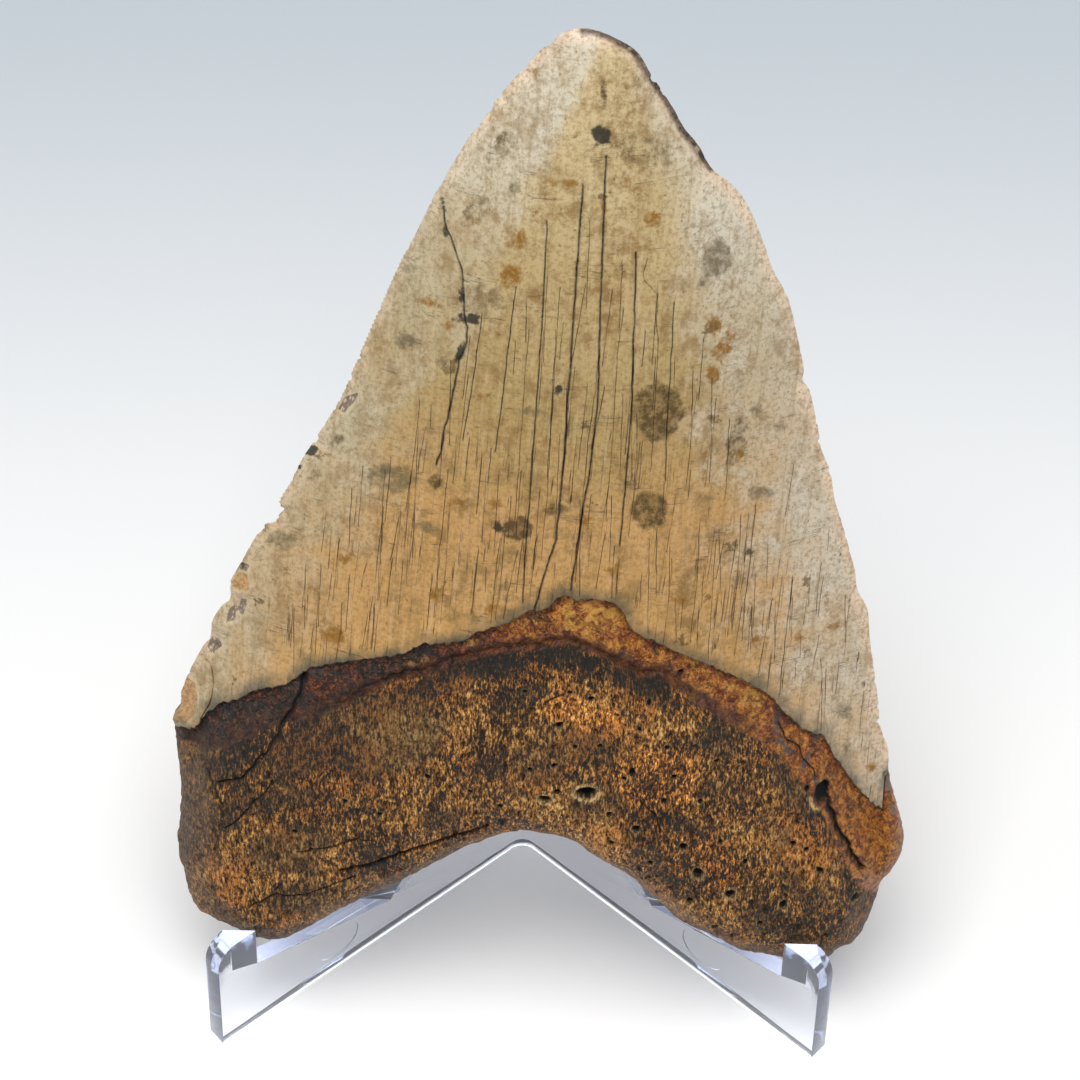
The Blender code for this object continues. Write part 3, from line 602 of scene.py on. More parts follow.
# The edge with its serrations, nicks and the root's roughness, only ever inwards
def wornEdge(outline):
    outward = outwardNormals(smoothed(outline, 1.0, 0.3))
    run = np.linalg.norm(np.diff(np.vstack([outline, outline[:1]]), axis=0), axis=1)
    along = np.concatenate([[0.0], np.cumsum(run)[:-1]])
    across, up = outline.T
    onCrown = smoothStep(up + 0.07 * across, -30.0, -26.0)
    teeth = 0.5 + 0.5 * np.sin(along / 0.72 * 2 * math.pi)
    serrated = smoothStep(-across, 6.0, 12.0) * smoothStep(up, -4.0, 6.0) * (1.0 - smoothStep(up, 42.0, 50.0))
    worn = np.clip(rough(outline, 7.0, 21.0, 2) + 0.55, 0.0, 1.0)
    nicks = smoothStep(rough(outline, 1.6, 44.0, 2), 0.15, 0.65)
    nicks *= smoothStep(rough(outline, 9.0, 61.0, 2), -0.2, 0.4)
    inwards = onCrown * (0.20 * serrated * teeth * worn + 0.42 * nicks + 0.05 + 0.05 * rough(outline, 0.8, 5.0, 2))
    inwards += (1.0 - onCrown) * (0.20 + 0.22 * rough(outline, 1.3, 9.0, 3))
    return outline - outward * np.clip(inwards, 0.0, 0.9)[:, None]


# A line with small irregular steps across it
def wavy(points, step, height, seed):
    line = evenly(points, step)
    wave = np.array([noise.fractal((x / 1.1, y / 1.1, seed), 0.6, 2.2, 3) for x, y in line])
    ends = np.minimum(np.arange(len(line)), np.arange(len(line))[::-1]) / 6.0
    line[:, 1] += wave * height * np.clip(ends, 0.0, 1.0)
    order = np.argsort(line[:, 0], kind="stable")
    return line[order]


outline = makeOutline()
calmOutline = smoothed(evenly(outline, 0.5, closed=True), 5.0, 0.5)
outlineLine, calmLine = Line(outline, closed=True), Line(calmOutline, closed=True)
outline = wornEdge(outline)
enamelLine = Line(wavy(onFront(enamelEdge), 0.32, 0.34, 2.0))
outlineLine = Line(outline, closed=True)
rimLine = Line(wavy(onFront(rimEdge), 0.4, 0.30, 6.0))
backEnamelLine = Line(wavy(np.array(backEnamelEdge), 0.6, 0.3, 4.0))


def wandering(points, amount, seed):
    line = evenly(points, 0.55)
    wave = np.array([noise.fractal((x / 2.5, y / 2.5, seed), 0.8, 2.0, 3) for x, y in line])
    line[:, 0] += amount * wave
    return line


crownCrackLines = [
    (halfWidth, deep, Line(wandering(onFront(points), 0.12, 1.0 + i)))
    for i, (halfWidth, deep, points) in enumerate(crownCracks)
]
crownCrackLines.append((0.2, 0.25, Line(wandering(onFront(oliveCrack), 0.35, 40.0))))


# Fine upright cracks over the lower two thirds of the crown, with tops that lean to the right
def makeHairLines():
    chance = np.random.default_rng(hairs["seed"])
    found = []
    for i in range(hairs["count"]):
        x = hairs["left"] + (hairs["right"] - hairs["left"]) * (i + chance.random()) / hairs["count"]
        lowest = np.interp(x, [p[0] for p in enamelEdge], [p[1] for p in enamelEdge]) - 4.0
        aside = abs(x - 580.0) / 280.0
        highest = 250.0 + 300.0 * aside ** 1.4
        bottom = lowest - (lowest - highest - 20.0) * chance.random() ** 1.5 * 0.9
        length = chance.uniform(22.0, 95.0) * (1.15 - 0.5 * aside)
        top = max(bottom - length, highest - 30.0)
        lean = 0.085 + 0.05 * chance.normal()
        rows = np.array([(x + lean * (bottom - y), y) for y in np.linspace(top, bottom, 5)])
        halfWidth, deep = chance.uniform(0.05, 0.09), chance.uniform(0.03, 0.06)
        found.append((halfWidth, deep, Line(wandering(onFront(rows), 0.10, 90.0 + i))))
    return found


rootCrackLines = [
    (halfWidth, deep, Line(wandering(onRoot(points), 0.5, 60.0 + i)))
    for i, (halfWidth, deep, points) in enumerate(rootCracks)
]
hairLines = makeHairLines()
holeSpots = onRoot([hole[0] for hole in rootHoles])
holePlaces = [(spot, hole[1], hole[2], hole[3]) for spot, hole in zip(holeSpots, rootHoles)]
chipLine = Line(evenly(onTooth(brokenEdge), 0.4))
say("lines placed")


# The tooth's mesh

def hexGrid(border, step):
    low, high = border.min(0), border.max(0)
    rows = []
    for i, up in enumerate(np.arange(low[1], high[1], step * math.sqrt(0.75))):
        across = np.arange(low[0] + (i % 2) * step / 2, high[0], step)
        rows.append(np.stack([across, np.full(len(across), up)], axis=1))
    return np.concatenate(rows)


# Distance from each place to the nearest of the others
def gapTo(places, others):
    tree = kdtree.KDTree(len(others))
    for i, p in enumerate(others):
        tree.insert((p[0], p[1], 0.0), i)
    tree.balance()
    return np.array([tree.find((p[0], p[1], 0.0))[2] for p in places])


# Points and edges that the front's triangles must follow
class Face:
    def __init__(self, border):
        self.border = border
        self.borderLine = Line(border, closed=True)
        self.points, self.edges = [], []

    def addLine(self, line, closed=False):
        inside = isInside(line, self.border) & (self.borderLine.distance(line) > 0.18)
        first = sum(len(p) for p in self.points) + len(self.border)
        index = np.cumsum(inside) - 1 + first
        count = len(line)
        for i in range(count if closed else count - 1):
            j = (i + 1) % count
            if inside[i] and inside[j]:
                self.edges.append((int(index[i]), int(index[j])))
        self.points.append(line[inside])

    def addBeside(self, line, gaps):
        run = np.gradient(line, axis=0)
        run /= np.maximum(np.linalg.norm(run, axis=1), 1e-9)[:, None]
        side = np.stack([-run[:, 1], run[:, 0]], axis=1)
        for gap in gaps:
            self.addLine(line + gap * side)


def triangulate(border, lines, edges, fill):
    flat = [Vector(p) for p in np.concatenate([border] + lines + [fill])]
    ring = [(i, (i + 1) % len(border)) for i in range(len(border))]
    found = delaunay_2d_cdt(flat, ring + edges, [], 1, 1e-6)
    spots = np.array([(v.x, v.y) for v in found[0]])
    borderIndex = {}
    for i, origins in enumerate(found[3]):
        for o in origins:
            if o < len(border):
                borderIndex[i] = o
                break
    return spots, found[2], borderIndex


# Lines that the front's triangles keep to, and the grid between them
def layFront(face, inner):
    face.addBeside(enamelLine.points, (-0.13, 0.13))
    face.addBeside(rimLine.points, (-0.2, 0.2, 0.6))
    for cracks, step in ((hairLines, 1.8), (crownCrackLines, 1.0), (rootCrackLines, 0.6)):
        for halfWidth, deep, line in cracks:
            face.addBeside(evenly(line.points, step), (-halfWidth * 1.2, 0.0, halfWidth * 1.2))
    for spot, acrossRadius, upRadius, deep in holePlaces:
        for scale, corners in ((1.08, 14), (0.6, 10)):
            turn = np.arange(corners) / corners * 2 * math.pi
            wide, high = np.cos(turn) * acrossRadius * holeOpening[0], np.sin(turn) * upRadius * holeOpening[1]
            face.addLine(spot + np.stack([wide, high], axis=1) * scale, closed=True)
    fineGrid, coarseGrid = hexGrid(inner, fineness["root"]), hexGrid(inner, fineness["crown"])
    onRootSide, onCrownSide = enamelLine.above(fineGrid) < 0.7, enamelLine.above(coarseGrid) >= 0.7
    return np.concatenate([fineGrid[onRootSide], coarseGrid[onCrownSide]])


def layBack(face, inner):
    face.addBeside(backEnamelLine.points, (-0.3, 0.3))
    return hexGrid(inner, fineness["back"])


def buildTooth():
    calm = smoothed(outline, 1.6, 0.3)
    rootward = 1.0 - smoothStep(outline[:, 1] + 0.07 * outline[:, 0], -38.0, -29.0)[:, None]
    outCalm = smoothed(outline, 5.0, 0.3)
    inner = (calm - form["crownStrip"] * outwardNormals(calm)) * (1.0 - rootward)
    inner += (outCalm - form["rootStrip"] * outwardNormals(outCalm)) * rootward

    places, lifts, faces = [outline], [np.zeros(len(outline))], []
    count = len(outline)
    total = count
    rimFront = frontHeight(outline, np.zeros(count))[1]
    marks = {name: [values] for name, values in rimFront.items()}

    for facing, side, heightOf, layPoints in (
        (1.0, "front", frontHeight, layFront), (-1.0, "back", backHeight, layBack),
    ):
        ringCount, gap = fineness[side + "Rings"], fineness[side + "Gap"]
        before = np.arange(count)
        for ring in range(1, ringCount + 1):
            share = 1.0 - math.cos(0.5 * math.pi * ring / ringCount)
            spots = outline + share * (inner - outline)
            height, found = heightOf(spots, insetOf(spots))
            index = np.arange(count) + total
            places.append(spots)
            lifts.append(height * facing)
            for name in found:
                marks[name].append(found[name])
            after = np.roll(index, -1)
            quads = np.stack([before, np.roll(before, -1), after, index], axis=1)
            faces += [tuple(q) if facing > 0 else tuple(q[::-1]) for q in quads.tolist()]
            before = index
            total += count

        face = Face(inner)
        fill = layPoints(face, inner)
        fill = fill[isInside(fill, inner)]
        fill = fill[face.borderLine.distance(fill) > 0.5 * gap]
        lines = np.concatenate(face.points)
        fill = fill[gapTo(fill, lines) > 0.55 * gap]
        spots, triangles, borderIndex = triangulate(inner, face.points, face.edges, fill)
        fresh = np.array([i not in borderIndex for i in range(len(spots))])
        index = np.zeros(len(spots), int)
        index[fresh] = np.arange(fresh.sum()) + total
        for i, o in borderIndex.items():
            index[i] = before[o]
        height, found = heightOf(spots[fresh], insetOf(spots[fresh]))
        places.append(spots[fresh])
        lifts.append(height * facing)
        for name in found:
            marks[name].append(found[name])
        total += int(fresh.sum())
        for triangle in triangles:
            corners = [int(index[i]) for i in triangle]
            faces.append(tuple(corners[::-1]) if facing > 0 else tuple(corners))
        say(f"side {facing:+.0f}: {len(triangles)} triangles inside {ringCount} rings")

    places, lifts = np.concatenate(places), np.concatenate(lifts)
    marks = {name: np.concatenate(parts) for name, parts in marks.items()}
    data = bpy.data.meshes.new("fossilTooth")
    low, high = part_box("tooth")
    inBox = np.clip(inWorld(places, lifts), np.array(low) + 1e-5, np.array(high) - 1e-5)
    data.from_pydata([tuple(p) for p in inBox], [], faces)
    data.update()
    mesh = bmesh.new()
    mesh.from_mesh(data)
    bmesh.ops.recalc_face_normals(mesh, faces=mesh.faces)
    mesh.to_mesh(data)
    mesh.free()
    data.shade_smooth()
    piece = bpy.data.objects.new("fossilTooth", data)
    bpy.context.scene.collection.objects.link(piece)
    writeMarks(data, places, lifts, marks)
    for region in regions:
        data.materials.append(paintTooth(region))
    shareFaces(data, marks["enamelMm"])
    corners = sum(len(p.vertices) - 2 for p in data.polygons)
    say(f"tooth has {corners} triangles")
    return piece


# Faces wholly on one side of the enamel's edge get a shorter paint, which looks the same there
def shareFaces(data, enamelMm):
    corners, starts = np.zeros(len(data.loops), np.int32), np.zeros(len(data.polygons), np.int32)
    data.loops.foreach_get("vertex_index", corners)
    data.polygons.foreach_get("loop_start", starts)
    lowest = np.minimum.reduceat(enamelMm[corners], starts)
    highest = np.maximum.reduceat(enamelMm[corners], starts)
    order = {region: i for i, region in enumerate(regions)}
    clear = np.where(highest < -regionGap, order["root"], order["edge"])
    kinds = np.where(lowest > regionGap, order["enamel"], clear)
    data.polygons.foreach_set("material_index", kinds.astype(np.int32))


def writeMarks(data, places, lifts, marks):
    for name, values in marks.items():
        layer = data.attributes.new(name, "FLOAT", "POINT")
        layer.data.foreach_set("value", np.asarray(values, np.float32))
    layer = data.attributes.new("toothMm", "FLOAT_VECTOR", "POINT")
    layer.data.foreach_set("vector", np.concatenate([places, lifts[:, None]], axis=1).astype(np.float32).ravel())


# Painting helpers

# Builds a shader tree with short calls
class Paint:
    def __init__(self, name):
        self.material = bpy.data.materials.new(name)
        self.material.use_nodes = True
        self.tree = self.material.node_tree
        self.shader = self.tree.nodes["Principled BSDF"]

    def put(self, socket, value):
        if isinstance(value, bpy.types.NodeSocket):
            self.tree.links.new(value, socket)
        elif isinstance(value, (tuple, list)) and len(value) == 3 and socket.type == "RGBA":
            socket.default_value = (*value, 1.0)
        else:
            socket.default_value = value

    def node(self, kind, inputs=(), **settings):
        made = self.tree.nodes.new(kind)
        for name, value in settings.items():
            setattr(made, name, value)
        for key, value in dict(inputs).items():
            self.put(made.inputs[key], value)
        return made

    def value(self, name):
        return self.node("ShaderNodeAttribute", attribute_name=name).outputs["Fac"]

    def vector(self, name):
        return self.node("ShaderNodeAttribute", attribute_name=name).outputs["Vector"]

    def math(self, operation, a, b=0.0):
        made = self.node("ShaderNodeMath", operation=operation)
        self.put(made.inputs[0], a)
        self.put(made.inputs[1], b)
        return made.outputs[0]

    def add(self, a, b):
        return self.math("ADD", a, b)

    def times(self, a, b):
        return self.math("MULTIPLY", a, b)

    def most(self, a, b):
        return self.math("MAXIMUM", a, b)

    def less(self, a, b):
        return self.math("SUBTRACT", a, b)

    def offHalf(self, value, size):  # a grain's swing about its middle
        return self.times(self.add(value, -0.5), size)

    def nearHalf(self, grain, start, end):  # thin lines where a grain crosses its middle
        return self.soft(self.math("ABSOLUTE", self.add(grain, -0.5)), start, end)

    def soft(self, value, start, end, low=0.0, high=1.0):
        span = {"Value": value, "From Min": start, "From Max": end, "To Min": low, "To Max": high}
        return self.node("ShaderNodeMapRange", span, interpolation_type="SMOOTHSTEP").outputs["Result"]

    def scaled(self, vector, scale, turn=(0.0, 0.0, 0.0), shift=(0.0, 0.0, 0.0)):
        change = {"Vector": vector, "Scale": scale, "Rotation": turn, "Location": shift}
        return self.node("ShaderNodeMapping", change).outputs[0]

    def grain(self, vector, scale, detail=3.0, roughness=0.6, distortion=0.0):
        kind = {"Vector": vector, "Scale": scale, "Detail": detail, "Roughness": roughness}
        return self.node("ShaderNodeTexNoise", {**kind, "Distortion": distortion}).outputs["Fac"]

    def cells(self, vector, scale):
        return self.node("ShaderNodeTexVoronoi", {"Vector": vector, "Scale": scale}).outputs["Distance"]

    def mix(self, share, a, b, blend="MIX"):
        made = self.node("ShaderNodeMix", data_type="RGBA", blend_type=blend)
        made.clamp_factor = True
        self.put(made.inputs["Factor"], share)
        self.put(made.inputs[6], a)
        self.put(made.inputs[7], b)
        return made.outputs[2]

    def blendValue(self, share, a, b):
        made = self.node("ShaderNodeMix", data_type="FLOAT")
        self.put(made.inputs["Factor"], share)
        self.put(made.inputs[2], a)
        self.put(made.inputs[3], b)
        return made.outputs[0]

    def ramp(self, value, stops):
        made = self.node("ShaderNodeValToRGB", {"Fac": value})
        elements = made.color_ramp.elements
        while len(elements) < len(stops):
            elements.new(0.5)
        for element, (place, colour) in zip(elements, stops):
            element.position = place
            element.color = (*colour, 1.0)
        return made.outputs["Color"]

    def bump(self, height, distance, strength):
        made = self.node("ShaderNodeBump", {"Height": height, "Distance": distance, "Strength": strength})
        return made.outputs["Normal"]


# A screen colour, 0 to 255, as linear light
def srgb(red, green, blue):
    shares = (red / 255, green / 255, blue / 255)
    return tuple(c / 12.92 if c <= 0.04045 else ((c + 0.055) / 1.055) ** 2.4 for c in shares)


# The tooth's colours. The last four are factors that darken or warm what is below them
toothLook = {
    "enamelTop": srgb(206, 185, 140), "enamelMiddle": srgb(180, 153, 98), "enamelLow": srgb(199, 154, 93),
    "enamelCool": srgb(194, 185, 156), "enamelCoolRight": srgb(216, 210, 192), "enamelPink": srgb(240, 214, 186),
    "enamelDirty": srgb(138, 106, 54), "enamelShade": srgb(78, 76, 60), "speck": srgb(140, 100, 44),
    "hairline": srgb(46, 26, 10), "crackDark": srgb(10, 10, 13),
    "olive": srgb(84, 63, 15), "ochre": srgb(138, 94, 3), "slate": srgb(98, 86, 56), "spot": srgb(32, 30, 15),
    "flakePale": srgb(244, 224, 184), "facet": srgb(122, 106, 94), "facetPale": srgb(206, 186, 164),
    "dentine": srgb(200, 154, 98), "dentineDark": srgb(150, 112, 78),
    "broken": srgb(114, 94, 78), "brokenDark": srgb(52, 44, 38),
    "bourletteRed": srgb(118, 53, 14), "bourletteRust": srgb(158, 82, 16), "bourletteOrange": srgb(196, 128, 42),
    "bourletteDark": srgb(40, 26, 16), "bourletteGrey": srgb(74, 76, 78), "bourletteFleck": srgb(214, 158, 72),
    "bourletteOchre": srgb(204, 150, 62), "bourletteChip": srgb(120, 82, 36),
    "lip": srgb(104, 57, 30), "lipDark": srgb(50, 28, 14),
    "rootPale": srgb(242, 206, 140), "rootTan": srgb(208, 150, 72), "rootMid": srgb(150, 98, 34),
    "rootOrange": srgb(190, 108, 26), "rootBrown": srgb(96, 59, 18), "rootDark": srgb(20, 14, 6),
    "rootOlive": srgb(46, 45, 32), "rootEdge": srgb(136, 108, 80), "rootEdgeDark": srgb(66, 48, 34),
    "holeDark": srgb(14, 11, 7), "poreDark": srgb(24, 18, 10),
    "leftFactor": (0.62, 0.57, 0.46), "warmFactor": (1.65, 1.45, 1.15),
    "gloomFactor": (0.40, 0.40, 0.38), "rimFactor": (0.46, 0.45, 0.38),
}
toothGloss = {"enamel": (0.34, 0.46), "bourlette": 0.36, "root": 0.72, "crack": 0.85}
toothRelief = {"height": 0.0007, "strength": 0.9}


def paintTooth(region):
    p = Paint("tooth" + region.capitalize())
    look = toothLook
    place = p.vector("toothMm")
    split = p.node("ShaderNodeSeparateXYZ", {"Vector": place})
    across, up = split.outputs[0], split.outputs[1]

    # Enamel: cooler towards the edges and the tip, warmer low in the middle
    drift = p.grain(place, 0.045, 3.0, 0.55)
    cloud = p.grain(place, 0.16, 4.0, 0.6)
    mottled = p.grain(place, 0.42, 5.0, 0.72)
    fine = p.grain(place, 1.6, 4.0, 0.7)
    height = p.add(up, p.offHalf(drift, 34.0))
    tone = p.ramp(p.soft(height, -30.0, 78.0), [
        (0.0, look["enamelLow"]), (0.28, look["enamelLow"]), (0.58, look["enamelMiddle"]), (1.0, look["enamelTop"]),
    ])
    middle = p.add(p.times(up, 0.10), 1.0)
    aside = p.math("ABSOLUTE", p.less(across, middle))
    width = p.add(p.times(up, -0.50), 41.0)
    sideShare = p.add(p.math("DIVIDE", aside, width), p.offHalf(cloud, 0.8))
    cool = p.times(p.soft(sideShare, 0.50, 0.98), p.soft(drift, 0.30, 0.60, 0.45, 1.0))
    nearEdge = p.soft(p.add(p.value("insetMm"), p.offHalf(cloud, 2.6)), 2.0, 0.2)
    rightSide = p.soft(p.add(across, p.times(up, 0.5)), 8.0, 24.0)
    colour = p.mix(p.times(cool, 0.85), tone, p.mix(rightSide, look["enamelCool"], look["enamelCoolRight"]))
    colour = p.mix(p.times(nearEdge, p.add(p.times(rightSide, 0.35), 0.30)), colour, look["enamelPink"])
    dirt = p.times(p.soft(mottled, 0.42, 0.64), p.soft(cloud, 0.38, 0.58))
    colour = p.mix(p.times(dirt, p.blendValue(cool, 0.88, 0.45)), colour, look["enamelDirty"])
    colour = p.mix(p.soft(fine, 0.44, 0.66, 0.0, 0.54), colour, look["enamelDirty"])
    colour = p.mix(p.soft(p.grain(place, 2.6, 2.0, 0.5), 0.66, 0.74, 0.0, 0.55), colour, look["hairline"])

    # Fine upright hairlines, with tops that lean to the right
    leaning = p.less(across, p.times(up, 0.085))
    slanted = p.node("ShaderNodeCombineXYZ", {"X": leaning, "Y": p.times(up, 0.03)}).outputs[0]
    streak = p.grain(p.scaled(slanted, (1.0, 2.0, 1.0)), 1.1, 4.0, 0.7)
    colour = p.mix(p.soft(streak, 0.50, 0.68, 0.0, 0.34), colour, look["enamelDirty"])
    colour = p.mix(p.soft(streak, 0.48, 0.34, 0.0, 0.12), colour, look["enamelPink"])
    lines = p.grain(slanted, 1.5, 2.0, 0.5, 0.05)
    hair = p.nearHalf(lines, 0.022, 0.005)
    broken = p.soft(p.grain(p.scaled(slanted, (1.0, 4.0, 1.0)), 0.8, 3.0, 0.6), 0.50, 0.62)
    lower = p.soft(p.add(up, p.times(aside, 0.9)), 48.0, 16.0)
    hair = p.times(p.times(hair, broken), p.times(lower, p.soft(sideShare, 0.95, 0.7)))
    colour = p.mix(p.times(hair, 0.85), colour, look["hairline"])

    # Scratches across the crown, in three directions
    for degrees, seed in ((-24.0, 0.0), (8.0, 40.0), (62.0, 80.0)):
        turn = (0.0, 0.0, math.radians(degrees))
        scratchPlace = p.scaled(place, (0.06, 1.2, 0.0), turn=turn, shift=(seed, seed, 0.0))
        somewhere = p.scaled(place, (0.35, 1.0, 1.0), turn=turn, shift=(seed, 0.0, 0.0))
        scratch = p.nearHalf(p.grain(scratchPlace, 1.2, 2.0, 0.5), 0.012, 0.003)
        scratch = p.times(scratch, p.soft(p.grain(somewhere, 0.30, 2.0, 0.5), 0.60, 0.68))
        colour = p.mix(p.times(scratch, 0.6), colour, look["hairline"])

    # Stains, with edges broken up by fine grain
    ragged = p.add(p.offHalf(mottled, 2.6), p.offHalf(fine, 1.2))

    def stainShare(kind, start, end, raggedShare):
        return p.soft(p.add(p.value(kind), p.times(ragged, raggedShare)), start, end)

    blotch = p.soft(p.grain(place, 0.9, 4.0, 0.7), 0.36, 0.60, 0.42, 1.0)
    for kind, start, end, raggedShare, strength in (
        ("slate", -0.35, 0.7, 0.6, 0.80), ("olive", -0.20, 0.6, 0.55, 0.98), ("ochre", -0.25, 0.6, 0.8, 0.98),
    ):
        share = p.times(stainShare(kind, start, end, raggedShare), blotch)
        colour = p.mix(p.times(share, strength), colour, look[kind])

    # Flakes: a pale border, then dentine or a grey facet with pale streaks
    flakeEdge = p.offHalf(fine, 0.5)
    dentineShare = p.soft(p.add(p.value("dentine"), flakeEdge), -0.05, 0.12)
    facetShare = p.soft(p.add(p.value("facet"), flakeEdge), -0.05, 0.12)
    flakePale = p.times(p.soft(p.most(p.value("facet"), p.value("dentine")), -0.6, -0.1), 0.22)
    colour = p.mix(flakePale, colour, look["flakePale"])
    dentineTone = p.mix(p.soft(fine, 0.4, 0.62), look["dentine"], look["dentineDark"])
    colour = p.mix(p.times(dentineShare, 0.9), colour, dentineTone)
    facetStreaks = p.grain(p.scaled(place, (1.0, 0.3, 1.0), turn=(0.0, 0.0, 0.5)), 3.0, 2.0, 0.5)
    facetTone = p.mix(p.soft(facetStreaks, 0.57, 0.63), look["facet"], look["facetPale"])
    colour = p.mix(p.times(facetShare, 0.92), colour, facetTone)

    # Dark spots, freckles and specks
    colour = p.mix(p.times(stainShare("dark", -0.10, 0.45, 0.7), 0.92), colour, look["spot"])
    freckle = p.soft(p.add(p.cells(place, 0.15), p.times(ragged, -0.25)), 0.13, 0.07)
    freckle = p.times(freckle, p.soft(p.grain(place, 0.05, 1.0, 0.5), 0.42, 0.55))
    colour = p.mix(p.times(freckle, 0.7), colour, look["olive"])
    speckPlace = p.scaled(place, (1.0, 1.0, 1.0), shift=(5.0, 3.0, 0.0))
    colour = p.mix(p.times(p.soft(p.cells(speckPlace, 0.42), 0.12, 0.06), 0.6), colour, look["speck"])

    # A blue-grey shade just above the enamel's lower edge, then a dark line
    enamelMm = p.value("enamelMm")
    base = p.times(p.soft(enamelMm, 2.3, 0.2), p.soft(cloud, 0.35, 0.6, 0.40, 1.0))
    colour = p.mix(p.times(base, 0.86), colour, look["enamelShade"])
    faded = p.soft(p.grain(p.scaled(slanted, (3.0, 8.0, 1.0)), 0.5, 3.0, 0.7), 0.40, 0.56, 0.40, 1.0)
    colour = p.mix(p.times(p.value("hair"), faded), colour, look["hairline"])
    enamelColour = p.mix(p.soft(enamelMm, 0.24, 0.06), colour, look["crackDark"])

    # Bourlette: red-brown on the left, ochre at its peak, orange-red on the right, mottled dark
    rimMm = p.value("rimMm")
    mottle = p.grain(place, 0.62, 6.0, 0.72, 0.4)
    patch = p.grain(place, 0.16, 3.0, 0.6, 0.4)
    pitted = p.grain(place, 1.9, 4.0, 0.75)
    tint = p.add(p.add(p.times(mottle, 0.60), p.times(patch, 0.25)), p.times(pitted, 0.30))
    tint = p.add(tint, p.add(p.soft(across, -22.0, 6.0, -0.080, 0.050), -0.03))
    bourlette = p.ramp(tint, [
        (0.45, look["bourletteDark"]), (0.515, look["bourletteRed"]),
        (0.575, look["bourletteRust"]), (0.65, look["bourletteOrange"]),
    ])
    bourlette = p.mix(p.times(p.soft(pitted, 0.45, 0.36), 0.8), bourlette, look["bourletteDark"])
    burntPlace = p.scaled(place, (1.0, 1.0, 1.0), shift=(3.0, 9.0, 0.0))
    burnt = p.soft(p.grain(burntPlace, 0.50, 5.0, 0.7, 0.6), 0.52, 0.62)
    bourlette = p.mix(p.times(burnt, p.soft(across, 4.0, -20.0, 0.70, 0.95)), bourlette, look["bourletteDark"])
    fleck = p.times(p.soft(pitted, 0.57, 0.66), p.soft(across, -12.0, 2.0, 0.45, 1.0))
    bourlette = p.mix(p.times(fleck, 0.7), bourlette, look["bourletteFleck"])
    veins = p.nearHalf(p.grain(place, 0.75, 4.0, 0.6, 0.8), 0.035, 0.008)
    bourlette = p.mix(p.times(veins, p.soft(across, 10.0, -20.0, 0.35, 0.85)), bourlette, look["bourletteDark"])
    ochreShare = p.times(stainShare("ochre", -0.2, 0.7, 1.0), p.soft(mottle, 0.40, 0.62))
    bourlette = p.mix(ochreShare, bourlette, look["bourletteOchre"])
    # Painted highlights: grey glints over the left part of the bourlette
    glint = p.times(p.soft(p.grain(place, 0.9, 4.0, 0.7, 1.2), 0.57, 0.63), p.soft(across, 6.0, -14.0))
    bourlette = p.mix(p.times(glint, 0.45), bourlette, look["bourletteGrey"])
    slateShare = p.times(stainShare("slate", -0.10, 0.50, 1.0), p.soft(mottle, 0.42, 0.56, 0.2, 0.9))
    bourlette = p.mix(slateShare, bourlette, look["bourletteGrey"])
    lip = p.times(p.soft(p.add(rimMm, p.offHalf(mottle, 1.6)), 2.2, 1.1), p.soft(across, 38.0, 24.0))
    lipTone = p.mix(p.soft(mottle, 0.38, 0.62), look["lipDark"], look["lip"])
    bourlette = p.mix(p.times(lip, 0.85), bourlette, lipTone)
    bourlette = p.mix(p.soft(across, -6.0, -20.0, 0.0, 0.75), bourlette, look["leftFactor"], "MULTIPLY")
    bourlette = p.mix(p.times(facetShare, 0.85), bourlette, look["facet"])
    bourlette = p.mix(p.times(dentineShare, 0.85), bourlette, look["bourletteChip"])

    # Root: pale fibres over a dark spongy body, smoother and browner along its lower edge
    fibrePlace = p.scaled(place, (1.0, 0.36, 0.5), turn=(0.0, 0.0, math.radians(5.0)))
    fibre = p.grain(fibrePlace, 2.0, 4.0, 0.8, 0.25)
    sponge = p.grain(fibrePlace, 4.2, 2.0, 0.6, 0.0)
    area = p.grain(place, 0.070, 3.0, 0.6)
    rimBand = p.soft(p.add(rimMm, p.offHalf(patch, 4.0)), -3.4, -0.4)
    offMiddle = p.math("ABSOLUTE", p.add(across, -4.0))
    rimBand = p.times(rimBand, p.soft(offMiddle, 30.0, 14.0, 0.30, 1.0))
    low = p.soft(p.add(p.value("insetMm"), p.offHalf(patch, 9.0)), 7.0, 3.0)
    tint = p.add(p.add(p.times(fibre, 0.62), p.times(sponge, 0.38)), p.offHalf(area, 0.30))
    tint = p.add(tint, p.times(rimBand, -0.055))
    root = p.ramp(tint, [
        (0.445, look["rootDark"]), (0.490, look["rootBrown"]), (0.530, look["rootMid"]),
        (0.580, look["rootTan"]), (0.650, look["rootPale"]),
    ])
    orange = p.soft(p.grain(place, 0.11, 4.0, 0.65, 0.5), 0.48, 0.62, 0.0, 0.85)
    root = p.mix(p.times(p.times(orange, p.soft(tint, 0.46, 0.53)), 0.55), root, look["rootOrange"])
    gloomPlace = p.scaled(place, (1.0, 1.0, 1.0), shift=(11.0, 2.0, 7.0))
    gloom = p.soft(p.grain(gloomPlace, 0.10, 4.0, 0.6, 0.4), 0.50, 0.64)
    gloom = p.most(gloom, p.soft(p.value("dark"), -1.2, 0.6))
    gloom = p.times(gloom, p.soft(p.value("ochre"), 0.4, -1.0, 0.2, 1.0))
    root = p.mix(stainShare("ochre", -1.7, 0.9, 1.0), root, look["warmFactor"], "MULTIPLY")
    root = p.mix(p.times(gloom, 0.78), root, look["gloomFactor"], "MULTIPLY")
    root = p.mix(p.times(gloom, 0.20), root, look["rootOlive"])
    edgeTone = p.mix(p.soft(pitted, 0.42, 0.60), look["rootEdgeDark"], look["rootEdge"])
    root = p.mix(p.times(low, 0.56), root, edgeTone)
